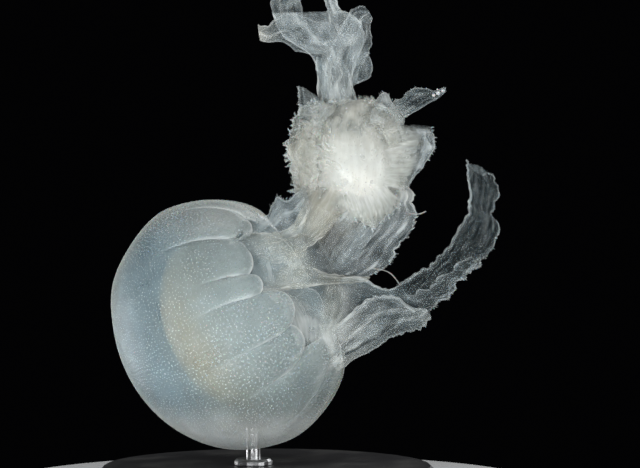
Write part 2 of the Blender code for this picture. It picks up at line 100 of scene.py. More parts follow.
def glide(points: tuple | Array, u: Array) -> Array:
    """Smooth interpolation of points at places from 0 to 1.

    Args:
        points: points, evenly spaced along the run.
        u: places along the run.

    Returns:
        One point for each place.
    """
    listed = np.asarray(points, float)
    last = len(listed) - 1
    place = np.clip(u, 0.0, 1.0) * last
    k = np.minimum(place.astype(int), last - 1)
    t = (place - k)[..., None]
    before, here = listed[np.maximum(k - 1, 0)], listed[k]
    there, after = listed[k + 1], listed[np.minimum(k + 2, last)]
    slope_a, slope_b = (there - before) / 2, (after - here) / 2
    t2, t3 = t * t, t * t * t
    return ((2 * t3 - 3 * t2 + 1) * here + (t3 - 2 * t2 + t) * slope_a
            + (3 * t2 - 2 * t3) * there + (t3 - t2) * slope_b)


def wrinkle(points: Array, length: float, seed: int, waves: int = 7) -> Array:
    """A smooth random field with values from about -1 to 1.

    Args:
        points: places in millimetres.
        length: size of its wrinkles.
        seed: choice of the field.
        waves: number of waves summed.

    Returns:
        One value for each point.
    """
    chance = np.random.default_rng(seed)
    ways = unit(chance.normal(size=(waves, 3)))
    phases = chance.uniform(0, FULL_TURN, waves)
    rates = FULL_TURN / length * chance.uniform(0.7, 1.4, waves)
    total = np.zeros(points.shape[:-1])
    for way, phase, rate in zip(ways, phases, rates):
        total += np.sin(points @ way * rate + phase)
    return total / math.sqrt(waves)


def grid(*parts: Array | float) -> Array:
    """Vectors over a grid, from an array or a number for each of their parts."""
    return np.stack(np.broadcast_arrays(*parts), -1)


def round_places(count: int) -> Array:
    """Radians of places spaced evenly round a circle."""
    return np.linspace(0, FULL_TURN, count, endpoint=False)


def add_layer(mesh: bpy.types.Mesh, name: str, values: Array) -> None:
    """Stores a number or a vector for each point.

    Args:
        mesh: the mesh to write to.
        name: the attribute's name.
        values: the numbers, or one row for each vector.
    """
    kind, part = ("FLOAT_VECTOR", "vector") if np.ndim(values) == 2 else ("FLOAT", "value")
    layer = mesh.attributes.new(name, kind, "POINT")
    layer.data.foreach_set(part, np.ascontiguousarray(values, np.float32).ravel())


def link(mesh: bpy.types.Mesh) -> bpy.types.Object:
    """Puts a mesh into the scene under its own name.

    Args:
        mesh: the mesh.

    Returns:
        Its object.
    """
    thing = bpy.data.objects.new(mesh.name, mesh)
    bpy.context.scene.collection.objects.link(thing)
    return thing


@dataclass
class Shell:
    """A closed or open mesh in millimetres with the numbers and vectors that its points carry."""

    name: str
    points: Array
    faces: list
    layers: dict[str, Array]

    def build(self) -> bpy.types.Object:
        """Makes the mesh with its layers as point attributes.

        Returns:
            Its object.
        """
        mesh = bpy.data.meshes.new(self.name)
        mesh.from_pydata((self.points * MM).tolist(), [], self.faces)
        for name, values in self.layers.items():
            add_layer(mesh, name, values)
        mesh.shade_smooth()
        return link(mesh)


def quads(rows: int, columns: int, wrap: bool = False,
          start: int = 0) -> list[tuple[int, ...]]:
    """Faces of a grid of points.

    Args:
        rows: number of rows.
        columns: points in a row.
        wrap: whether each row closes on itself.
        start: index of the first point.

    Returns:
        The faces.
    """
    faces = []
    for a in range(start, start + (rows - 1) * columns, columns):
        b = a + columns
        for c in range(columns if wrap else columns - 1):
            d = (c + 1) % columns
            faces.append((a + c, a + d, b + d, b + c))
    return faces


def over_grid(values: Array | float, rows: int, columns: int) -> Array:
    """Values spread over a whole grid, as one list of its points.

    Args:
        values: numbers or vectors that can be spread over the grid.
        rows: number of rows.
        columns: points in a row.

    Returns:
        One number or vector for each point.
    """
    values = np.asarray(values, float)
    part = values.shape[2:]
    return np.broadcast_to(values, (rows, columns, *part)).reshape(rows * columns, *part)


def loft_shell(name: str, rings: Array, first: Array, last: Array,
               layers: dict[str, Array]) -> Shell:
    """A closed shell through rings, shut by a pole at each end.

    Args:
        name: name of the shell.
        rings: points, row by row.
        first: pole before the first ring.
        last: pole after the last ring.
        layers: numbers or vectors for the ring points, by name, in grid shape.

    Returns:
        The shell.
    """
    rows, columns = rings.shape[:2]
    points = np.concatenate([rings.reshape(-1, 3), [first, last]])
    faces = quads(rows, columns, wrap=True)
    tip, end, base = rows * columns, rows * columns + 1, (rows - 1) * columns
    for c in range(columns):
        d = (c + 1) % columns
        faces.append((d, c, tip))
        faces.append((base + c, base + d, end))
    full = {}
    for key, values in layers.items():
        flat = over_grid(values, rows, columns)
        full[key] = np.concatenate([flat, [flat[:columns].mean(0), flat[-columns:].mean(0)]])
    return Shell(name, points, faces, full)


def slab_shell(name: str, upper: Array, lower: Array, layers: dict[str, Array]) -> Shell:
    """A closed sheet between two grids of points.

    Args:
        name: name of the shell.
        upper: points of one face.
        lower: points of the other face.
        layers: numbers or vectors for the grid points, by name, in grid shape.

    Returns:
        The shell.
    """
    rows, columns = upper.shape[:2]
    under = rows * columns
    points = np.concatenate([upper.reshape(-1, 3), lower.reshape(-1, 3)])
    top = quads(rows, columns)
    faces = top + [tuple(under + k for k in reversed(face)) for face in top]
    places = np.arange(under).reshape(rows, columns)
    border = [*places[0], *places[1:, -1], *places[-1, -2::-1], *places[-2:0:-1, 0]]
    for a, b in zip(border, border[1:] + border[:1]):
        faces.append((int(b), int(a), int(a) + under, int(b) + under))
    full = {key: np.concatenate([over_grid(values, rows, columns)] * 2)
            for key, values in layers.items()}
    return Shell(name, points, faces, full)


def outward(thing: bpy.types.Object) -> bpy.types.Object:
    """Turns the faces of a closed mesh outwards.

    Args:
        thing: the mesh's object.

    Returns:
        The same object.
    """
    work = bmesh.new()
    work.from_mesh(thing.data)
    bmesh.ops.recalc_face_normals(work, faces=work.faces)
    if work.calc_volume(signed=True) < 0:
        bmesh.ops.reverse_faces(work, faces=work.faces)
    work.to_mesh(thing.data)
    work.free()
    return thing


def bake(thing: bpy.types.Object) -> None:
    """Turns an object's modifiers into its mesh.

    Args:
        thing: the object.
    """
    bpy.context.view_layer.update()
    graph = bpy.context.evaluated_depsgraph_get()
    mesh = bpy.data.meshes.new_from_object(thing.evaluated_get(graph), depsgraph=graph)
    thing.modifiers.clear()
    thing.data = mesh


def join(name: str, things: list[bpy.types.Object]) -> bpy.types.Object:
    """Joins objects into one.

    Args:
        name: name of the joined piece.
        things: the objects, which all have the same material.

    Returns:
        The joined piece.
    """
    with bpy.context.temp_override(active_object=things[0], selected_editable_objects=things,
                                   selected_objects=things):
        bpy.ops.object.join()
    things[0].name = things[0].data.name = name
    return things[0]


# ------------------------------------------------------------------ nodes and finishes


class Nodes:
    """Short calls that add nodes to a tree and join them."""

    def __init__(self, tree: bpy.types.NodeTree) -> None:
        """Keeps the tree that nodes go to."""
        self.tree = tree

    def feed(self, node: bpy.types.Node, inputs: dict) -> None:
        """Sets a node's inputs.

        Args:
            node: the node.
            inputs: values or sockets by input name or number.
        """
        for key, value in inputs.items():
            if isinstance(value, bpy.types.NodeSocket):
                self.tree.links.new(value, node.inputs[key])
            else:
                node.inputs[key].default_value = value

    def add(self, kind: str, inputs: dict | None = None, **settings: object) -> bpy.types.Node:
        """Adds one node.

        Args:
            kind: the node's type name.
            inputs: values or sockets by input name or number.
            settings: properties of the node.

        Returns:
            The node.
        """
        node = self.tree.nodes.new(kind)
        for name, value in settings.items():
            setattr(node, name, value)
        self.feed(node, inputs or {})
        return node

    def math(self, operation: str, a: object, b: object = 0.0,
             clamp: bool = False) -> bpy.types.NodeSocket:
        """A math node's result, held from 0 to 1 where it is clamped."""
        node = self.add("ShaderNodeMath", {0: a, 1: b}, operation=operation, use_clamp=clamp)
        return node.outputs[0]

    def vector(self, operation: str, a: object, b: object) -> bpy.types.NodeSocket:
        """A vector math node's result.

        Args:
            operation: the operation's name.
            a: first vector or socket.
            b: second vector or socket, or the number that SCALE takes.

        Returns:
            The output socket, which is a number for DISTANCE.
        """
        second = "Scale" if operation == "SCALE" else 1
        node = self.add("ShaderNodeVectorMath", {0: a, second: b}, operation=operation)
        return node.outputs["Value" if operation == "DISTANCE" else "Vector"]

    def mix(self, amount: object, a: object, b: object) -> bpy.types.NodeSocket:
        """A colour between two colours, from the share of the second one."""
        node = self.add("ShaderNodeMix", {0: amount, 6: a, 7: b}, data_type="RGBA")
        return node.outputs[2]

    def ramp(self, value: object, low: float, high: float, start: float = 0.0,
             end: float = 1.0) -> bpy.types.NodeSocket:
        """A held linear map of a value, in which low gives start and high gives end."""
        node = self.add("ShaderNodeMapRange", {0: value, 1: low, 2: high, 3: start, 4: end})
        return node.outputs[0]

    def place(self) -> bpy.types.NodeSocket:
        """The place on the object, in metres."""
        return self.add("ShaderNodeTexCoord").outputs["Object"]

    def noise(self, place: object, scale: float, detail: float,
              roughness: float = 0.5) -> bpy.types.NodeSocket:
        """A noise pattern.

        Args:
            place: socket of the places that it is laid out on.
            scale: its fineness.
            detail: number of its finer layers.
            roughness: strength of the finer layers.

        Returns:
            The output socket, with values round a half.
        """
        node = self.add("ShaderNodeTexNoise", {"Vector": place, "Scale": scale, "Detail": detail,
                                               "Roughness": roughness})
        return node.outputs["Fac"]

    def bump(self, height: object, strength: float, distance: float) -> bpy.types.NodeSocket:
        """A relief.

        Args:
            height: socket of its height.
            strength: share of it that shows.
            distance: its depth in metres.

        Returns:
            The output socket of the normal.
        """
        node = self.add("ShaderNodeBump", {"Height": height, "Strength": strength,
                                           "Distance": distance})
        return node.outputs[0]


def rgba(colour: Triple) -> tuple[float, float, float, float]:
    """The colour with full alpha."""
    return (*colour, 1.0)


def new_material(name: str) -> tuple[bpy.types.Material, Nodes, bpy.types.Node]:
    """A node material with its Principled shader.

    Args:
        name: name of the material.

    Returns:
        The material, its nodes and its shader.
    """
    made = bpy.data.materials.new(name)
    made.use_nodes = True
    return made, Nodes(made.node_tree), made.node_tree.nodes["Principled BSDF"]


@dataclass(frozen=True)
class FleshFinish:
    """Wet translucent tissue whose tone follows the skin's masks."""

    name: str = "jellyfish_flesh"
    jelly: Triple = (0.21, 0.305, 0.35)
    cream: Triple = (0.26, 0.18, 0.03)
    white: Triple = (0.97, 0.97, 0.94)
    fibre: Triple = (0.62, 0.68, 0.68)
    sheen_tint: Triple = (0.85, 0.92, 0.9)
    scatter: Triple = (1.0, 0.95, 0.85)
    cloud_scale: float = 70.0
    grit_scale: float = 900.0
    grit_share: float = 0.02
    strand_cover: float = 0.14

    def make(self) -> bpy.types.Material:
        """Sets up its nodes.

        Returns:
            The material.
        """
        made, nodes, shader = new_material(self.name)
        mask = {name: nodes.add("ShaderNodeAttribute", attribute_name=name).outputs["Fac"]
                for name in MASKS}
        grain = nodes.add("ShaderNodeAttribute", attribute_name="grain").outputs["Vector"]
        place = nodes.place()
        threads = nodes.noise(grain, 1.0, 4.0, 0.6)
        mottle = nodes.ramp(nodes.noise(place, self.cloud_scale, 3.0, 0.55), 0.35, 0.7)
        grit = nodes.noise(place, self.grit_scale, 2.0)
        strand = nodes.ramp(threads, 0.42, 0.75)
        lighter = nodes.math("MULTIPLY", strand, mask["fibre"], clamp=True)
        tone = nodes.mix(mask["cream"], rgba(self.jelly), rgba(self.cream))
        tone = nodes.mix(lighter, tone, rgba(self.fibre))
        # the white mask holds the tissue's own paleness and also painted light: the frilled mass's
        # glow, lappet edges, pleat crests and ribs, and the bell's underside and top
        tone = nodes.mix(mask["white"], tone, rgba(self.white))
        cover = nodes.math("MULTIPLY", mask["cover"], nodes.ramp(mottle, 0.0, 1.0, 0.86, 1.1))
        filled = nodes.math("MULTIPLY", lighter, self.strand_cover)
        relief = nodes.math("ADD", nodes.math("MULTIPLY", threads, mask["fibre"]),
                            nodes.math("MULTIPLY", grit, self.grit_share))
        nodes.feed(shader, {
            "Base Color": nodes.vector("SCALE", tone, nodes.ramp(mottle, 0.0, 1.0, 0.93, 1.05)),
            "Alpha": nodes.math("ADD", cover, filled, clamp=True),
            "Normal": nodes.bump(relief, 0.12, 0.0005), "Roughness": 0.48, "IOR": WATERY_IOR,
            "Coat Weight": 0.05, "Coat Roughness": 0.12, "Sheen Weight": 0.35,
            "Sheen Roughness": 0.25, "Sheen Tint": rgba(self.sheen_tint),
            "Subsurface Weight": 0.5, "Subsurface Radius": self.scatter,
            "Subsurface Scale": 0.004})
        return made


@dataclass(frozen=True)
class GrainFinish:
    """Small pale growths: warts, frill leaves, fringes and threads."""

    name: str
    dark: Triple
    pale: Triple
    cover_low: float
    cover_high: float
    roughness: float = 0.4
    scale: float = 160.0
    soft: float = 0.2
    core: Triple = (0.0, 0.0, 0.0)
    painted_glow_tone: Triple = (0.75, 0.74, 0.68)
    reach: float = 0.0
    gloss: float = 0.3

    def make(self) -> bpy.types.Material:
        """Sets up its nodes; within its reach of the core point, the tone goes over to the painted
        glow tone.

        Returns:
            The material.
        """
        made, nodes, shader = new_material(self.name)
        place = nodes.place()
        share = nodes.ramp(nodes.noise(place, self.scale, 3.0), 0.35, 0.65)
        tone = nodes.mix(share, rgba(self.dark), rgba(self.pale))
        # painted glow: near the core point the tone is painted over to a paler tone
        if self.reach:
            near = nodes.ramp(nodes.vector("DISTANCE", place, self.core), 0.1 * self.reach,
                              self.reach, 1.0, 0.0)
            tone = nodes.mix(near, tone, rgba(self.painted_glow_tone))
        nodes.feed(shader, {
            "Base Color": tone,
            "Alpha": nodes.ramp(share, 0.0, 1.0, self.cover_low, self.cover_high),
            "Roughness": self.roughness, "IOR": WATERY_IOR, "Subsurface Weight": self.soft,
            "Subsurface Scale": 0.003, "Specular IOR Level": self.gloss})
        return made


@dataclass(frozen=True)
class PaintFinish:
    """Satin paint with a fine orange peel and faint dust."""

    name: str = "satin_black_paint"
    colour: Triple = (0.022, 0.022, 0.024)
    dust: Triple = (0.06, 0.06, 0.058)
    cloud_scale: float = 55.0
    peel_scale: float = 1500.0

    def make(self) -> bpy.types.Material:
        """Sets up its nodes.

        Returns:
            The material.
        """
        made, nodes, shader = new_material(self.name)
        place = nodes.place()
        cloud = nodes.noise(place, self.cloud_scale, 5.0)
        peel = nodes.noise(place, self.peel_scale, 2.0)
        nodes.feed(shader, {
            "Base Color": nodes.mix(nodes.ramp(cloud, 0.5, 0.8), rgba(self.colour),
                                    rgba(self.dust)),
            "Roughness": nodes.ramp(cloud, 0.3, 0.7, 0.38, 0.5),
            "Normal": nodes.bump(peel, 0.15, 0.0002)})
        return made


@dataclass(frozen=True)
class SteelFinish:
    """Brushed steel with fine rings round a vertical rod."""

    name: str = "brushed_rod_steel"
    colour: Triple = (0.56, 0.57, 0.58)
    groove: Triple = (0.42, 0.43, 0.44)
    stretch: Triple = (60, 60, 4000)

    def make(self) -> bpy.types.Material:
        """Sets up its nodes.

        Returns:
            The material.
        """
        made, nodes, shader = new_material(self.name)
        stretched = nodes.add("ShaderNodeMapping", {"Vector": nodes.place(),
                                                    "Scale": self.stretch})
        rings = nodes.noise(stretched.outputs[0], 1.0, 3.0)
        nodes.feed(shader, {"Base Color": nodes.mix(rings, rgba(self.groove), rgba(self.colour)),
                            "Roughness": nodes.ramp(rings, 0.3, 0.7, 0.24, 0.4),
                            "Normal": nodes.bump(rings, 0.2, 0.0001), "Metallic": 1.0})
        return made


@dataclass(frozen=True)
class FloorFinish:
    """Pale cloudy board."""

    name: str = "pale_floor"
    dark: Triple = (0.50, 0.51, 0.52)
    pale: Triple = (0.56, 0.57, 0.57)
    cloud_scale: float = 18.0

    def make(self) -> bpy.types.Material:
        """Sets up its nodes.

        Returns:
            The material.
        """
        made, nodes, shader = new_material(self.name)
        cloud = nodes.noise(nodes.place(), self.cloud_scale, 4.0)
        nodes.feed(shader, {"Base Color": nodes.mix(cloud, rgba(self.dark), rgba(self.pale)),
                            "Roughness": 0.6})
        return made


# ------------------------------------------------------------------ the bell


@dataclass(frozen=True)
class Lappet:
    """One round lappet of the margin between two clefts, in degrees."""

    low: float
    high: float
    low_cleft: float
    high_cleft: float
    tip: float
    low_furrow: float
    high_furrow: float


@dataclass
class Bell:
    """The thick warty bell, hollow below, whose margin is sixteen overlapping lappets.

    Angles are degrees from its apex, and each cleft is an angle round the axis, the angle that it
    reaches up to and the angle where its furrow starts.
    """

    centre: Triple = (-14.5, 0.0, 68.5)
    rise: float = 26.0
    turn: float = 8.0
    apex_radius: float = 49.3
    waist_radius: float = 54.6
    margin_radius: float = 48.0
    margin_sag: float = 2.3
    waist_angle: float = 85.0
    margin_angle: float = 131.0
    apex_thickness: float = 21.5
    margin_thickness: float = 3.0
    thinning: float = 2.2
    rim_thickness: float = 0.9
    rim_angle: float = 112.0
    rim_run: float = 24.0
    coat_depth: float = 0.3
    shoulder: float = 104.0
    furrow_depth: float = 1.3
    bulge: float = 0.8
    lift: float = 0.75
    overlap: float = 2.6
    curl: float = 1.3
    curl_reach: float = 3.0
    swell: float = 0.45
    swell_length: float = 34.0
    swell_seed: int = 11
    columns: int = 15
    upper_rows: int = 46
    lappet_rows: int = 20
    inner_rows: int = 28
    clefts: tuple = ((5, 124, 80), (27, 126, 84), (50, 124, 82), (72, 126, 84), (95, 124, 82),
                     (117, 126, 84), (140, 124, 82), (162, 126, 84), (186, 123, 84),
                     (211, 118, 88), (237, 116, 84), (256, 121, 74), (279, 115, 80),
                     (291, 114, 90), (315, 113, 72), (343, 121, 84))
    tips: tuple = (135, 134, 136, 134, 135, 136, 134, 135, 136, 138, 128, 133, 121.5, 122, 127,
                   133)
    axis: Array = field(init=False)
    far: Array = field(init=False)
    up: Array = field(init=False)

    def __post_init__(self) -> None:
        """Works out the axes of the bell."""
        rise, turn = math.radians(self.rise), math.radians(self.turn)
        self.axis = np.array([math.cos(rise) * math.cos(turn), -math.sin(turn),
                              math.sin(rise) * math.cos(turn)])
        self.far = unit(np.array([0.0, 1.0, 0.0]) - self.axis[1] * self.axis)
        self.up = np.cross(self.axis, self.far)

    def lappets(self) -> list[Lappet]:
        """Reads the clefts in pairs.

        Returns:
            The lappets, from the first cleft round to it again.
        """
        first = self.clefts[0]
        ends = (*self.clefts[1:], (first[0] + 360, *first[1:]))
        return [Lappet(low[0], high[0], low[1], high[1], tip, low[2], high[2])
                for low, high, tip in zip(self.clefts, ends, self.tips)]

    def plain_radius(self, angle: Array, around: Array) -> Array:
        """Distance of the plain outer form from the centre.

        Args:
            angle: degrees from the apex.
            around: degrees round the axis.

        Returns:
            The radii.
        """
        upper = self.apex_radius + (self.waist_radius - self.apex_radius) * np.sin(
            math.pi / 2 * np.minimum(angle / self.waist_angle, 1.0)) ** 2
        part = np.maximum((angle - self.waist_angle) / (self.margin_angle - self.waist_angle), 0)
        lower = (self.waist_radius - self.margin_radius) * part ** 2
        return upper - lower - self.margin_sag * np.cos(np.radians(around)) * part ** 0.7

    def wall(self, angle: Array) -> Array:
        """Thickness of the wall.

        Args:
            angle: degrees from the apex.

        Returns:
            The thicknesses.
        """
        part = np.minimum(1.0, angle / self.margin_angle)
        wall = self.margin_thickness + (self.apex_thickness - self.margin_thickness) * (
            1 - part ** self.thinning)
        fade = np.clip((angle - self.rim_angle) / self.rim_run, 0, 1)
        return wall + (self.rim_thickness - wall) * fade

    def place(self, radius: Array, angle: Array, around: Array) -> Array:
        """Points from distances, angles from the apex and angles round the axis.

        Args:
            radius: distances from the centre.
            angle: degrees from the apex.
            around: degrees round the axis.

        Returns:
            The points.
        """
        a, f = np.radians(angle)[..., None], np.radians(around)[..., None]
        across = np.cos(f) * self.up + np.sin(f) * self.far
        return np.array(self.centre) + radius[..., None] * (
            -np.cos(a) * self.axis + np.sin(a) * across)

    def plan(self) -> tuple[Array, ...]:
        """Plan of the columns.

        Returns:
            Angle round, place across the lappet, tip angle, furrow start and half width.
        """
        parts = []
        steps = np.sin(np.linspace(-1, 1, self.columns) * math.pi / 2)
        share = (steps + 1) / 2
        for lappet in self.lappets():
            width = (lappet.high - lappet.low) / 2
            cleft = lappet.low_cleft + (lappet.high_cleft - lappet.low_cleft) * share
            tip = cleft + (lappet.tip - cleft) * (1 - np.abs(steps) ** 2.6) ** 0.55
            furrow = lappet.low_furrow + (lappet.high_furrow - lappet.low_furrow) * share
            parts.append((lappet.low + 2 * width * share, steps, tip, furrow,
                          np.full(self.columns, width)))
        return tuple(np.concatenate(values) for values in zip(*parts))

    def outer(self, rows: Array) -> tuple[Array, dict[str, Array], Array]:
        """The outer skin's points.

        Args:
            rows: angles up to the shoulder, then shares of the way to the tip plus it.

        Returns:
            Points, masks and the polar place of each point.
        """
        around, side, tip, furrow, half = self.plan()
        share = np.clip(rows[:, None] - self.shoulder, 0, 1)
        angle = np.where(rows[:, None] <= self.shoulder, rows[:, None],
                         self.shoulder + (tip - self.shoulder) * share)
        grow = ease((angle - furrow) / (tip - furrow + 4))
        late = ease((angle - 0.5 * (furrow + tip)) / (0.5 * (tip - furrow) + 2))
        radius = self.plain_radius(angle, around) - self.coat_depth
        radius += self.bulge * grow * (1 - side ** 2)
        radius -= self.furrow_depth * grow * np.abs(side) ** 7
        radius -= self.lift * late * side
        # nearly the millimetres from the lappet's edge and from its low cleft
        close = (tip - angle) / 100.0 * self.waist_radius * 1.75
        reach = (1 + side) * np.radians(half) * self.waist_radius
        radius -= self.curl * late * np.exp(-(close / self.curl_reach) ** 2)
        turned = around - self.overlap * late ** 2 * ((1 - side) / 2) ** 3
        points = self.place(radius, angle, turned)
        swell = self.swell * wrinkle(points, self.swell_length, self.swell_seed)
        points = self.place(radius + swell * ease(angle / 40.0), angle, turned)

        # painted light: the steps between lappets and the lappet edges are painted whiter and
        # denser, as painted edge light along their curl and step
        step_line = np.exp(-(reach / 0.8) ** 2) * grow ** 0.7
        rim_line = np.exp(-(close / 0.75) ** 2)
        line = np.clip(np.maximum(step_line, rim_line), 0, 1)
        away, height = np.abs(points[..., 1]), points[..., 2]
        # painted light: low paints the lower bell whiter and denser, and crown paints the top
        # whiter, as painted lighting of the underside and top
        low, crown = ease((38.0 - height) / 16.0), ease((height - 100.0) / 16.0)
        # painted light: the band of the bell nearest the silhouette plane (y = 0) is painted
        # creamier and denser, as a painted limb glow
        painted_limb_glow = 1 - ease(away / 26.0)
        crescent = np.exp(-((angle - 79.0) / 13.0) ** 2) * ease((away - 20.0) / 14.0)
        crescent = crescent * ease((90.0 - height) / 30.0)
        cream = np.maximum(0.25 * ease((angle - 70) / 40), 0.5 * painted_limb_glow) + 0.22 * crescent
        # the white and cover masks mix the tissue's own tone with painted light: lappet edge
        # light, limb glow, and the lit underside and top
        masks = {"cream": cream * (1 - 0.5 * line),
                 "white": (0.03 + 0.04 * grow + 0.26 * line + 0.25 * rim_line + 0.46 * low
                           + 0.21 * crown),
                 "cover": 0.42 + 0.10 * painted_limb_glow + 0.14 * grow + 0.20 * line + 0.28 * low,
                 "fibre": 0.0 * angle}
        return points, masks, grid(turned, angle, 0)

    def shell(self) -> Shell:
        """Shapes outer skin, rim and cavity wall in one.

        Returns:
            The closed bell.
        """
        upper = np.linspace(2.0, self.shoulder, self.upper_rows)
        lower = self.shoulder + np.linspace(0, 1, self.lappet_rows + 1)[1:]
        outer, masks, polar = self.outer(np.concatenate([upper, lower]))
        around, _, tip, _, _ = self.plan()
        shares = np.linspace(1.0, 0.0, self.inner_rows)[:, None]
        angle = np.maximum(tip * shares, 2.0)
        rim = outer[-1]
        radius = self.plain_radius(angle, around) - self.coat_depth - self.wall(angle)
        inner = self.place(radius, angle, around)
        drop = inner[0] - rim
        inner[0] = rim + 0.8 * drop
        middle = rim + 0.4 * drop + 0.25 * unit(rim - outer[-2])
        deep = ease((108 - angle) / 42)
        soft = 0.45 + 0.55 * ease((np.abs(inner[..., 1]) - 4) / 22)
        inner_masks = {"cream": deep, "white": 0.02 * deep,
                       "cover": (0.24 + 0.44 * deep) * (0.15 + 0.85 * ease(angle / 46)) * soft,
                       "fibre": 0.15 * deep}
        layers = {k: np.concatenate([masks[k], masks[k][-1:], inner_masks[k]]) for k in MASKS}
        turned = np.concatenate([polar, polar[-1:], grid(around, angle, 0)])
        layers["grain"] = turned * np.array([0.9, 0.12, 1.0])
        rings = np.concatenate([outer, middle[None], inner])
        top = self.apex_radius - self.coat_depth
        first, last = (np.array(self.centre) - away * self.axis
                       for away in (top, top - self.apex_thickness))
        return loft_shell("bell", rings[:, ::-1], first, last,
                          {k: v[:, ::-1] for k, v in layers.items()})

    def host(self, even: bool = False) -> bpy.types.Object:
        """Copies the outer skin to carry growths.

        Args:
            even: whether the growths are as large near the apex as near the margin.

        Returns:
            The open surface.
        """
        upper = np.linspace(1.5, self.shoulder, self.upper_rows)
        lower = self.shoulder + np.linspace(0, 0.96, self.lappet_rows)[1:]
        points, _, polar = self.outer(np.concatenate([upper, lower]))
        points = np.concatenate([points, points[:, :1]], 1)
        polar = np.concatenate([polar, polar[:, :1] + np.array([360.0, 0, 0])], 1)
        around, angle, _ = polar.reshape(-1, 3).T
        big = (0.60 + 0.32 * ease((angle - 58) / 40)) * (
            0.8 + 0.2 * np.sin(np.radians(3 * around) + 0.7))
        layers = {"flow": 0 * polar.reshape(-1, 3), "root": grid(around / 360, angle / 180, 0),
                  "big": np.ones(len(big)) if even else big}
        faces = [face[::-1] for face in quads(*points.shape[:2])]
        return Shell("bell_host", points.reshape(-1, 3), faces, layers).build()


@dataclass
class Manubrium:
    """The wide four-cornered mouth stalk, whose profile is places along the axis with radii."""

    bell: Bell
    profile: tuple = ((-23.4, 14.0), (-19.0, 16.5), (-8.0, 15.5), (6.0, 17.0), (20.0, 21.0),
                      (32.0, 25.0), (41.0, 23.5), (47.0, 17.5))
    start: float = 2.2
    end: float = 1.0
    corners: float = 0.10
    rows: int = 36
    columns: int = 80

    def shell(self) -> Shell:
        """Shapes soft pleats that run to the mouth.

        Returns:
            The closed stalk.
        """
        u = np.linspace(0, 1, self.rows)[:, None]
        along, radius = np.moveaxis(glide(self.profile, u), -1, 0)
        turn = round_places(self.columns)[None]
        open_ = ease(u)
        fine = 0.012 * np.sin(12 * turn + 1.3) + 0.01 * np.sin(21 * turn + 4 * u)
        pleat = 1 - self.corners * np.cos(4 * turn) + open_ * fine
        across = (np.cos(turn)[..., None] * self.bell.up
                  + np.sin(turn)[..., None] * self.bell.far)
        centre, axis = np.array(self.bell.centre), self.bell.axis
        rings = centre + along[..., None] * axis + (radius * pleat)[..., None] * across
        first = centre + (self.profile[0][0] - self.start) * axis
        last = centre + (self.profile[-1][0] + self.end) * axis
        ridge = 0.5 + 0.5 * np.sin(12 * turn + 1.3)
        lip = ease((u - 0.72) / 0.28)
        layers = {"cream": 0.14, "white": 0.03 + 0.04 * open_ * ridge,
                  "cover": 0.30 + 0.04 * ridge * open_ - 0.22 * lip, "fibre": 0.15 * open_,
                  "grain": grid(turn * 9, along * 0.05, 40)}
        return loft_shell("mouth_stalk", rings, first, last, layers)


# ------------------------------------------------------------------ arms


class Edge(Enum):
    """Edges of a veil that carry a fringe, as places across it."""

    NONE = ()
    LEFT = (0.0,)
    RIGHT = (1.0,)


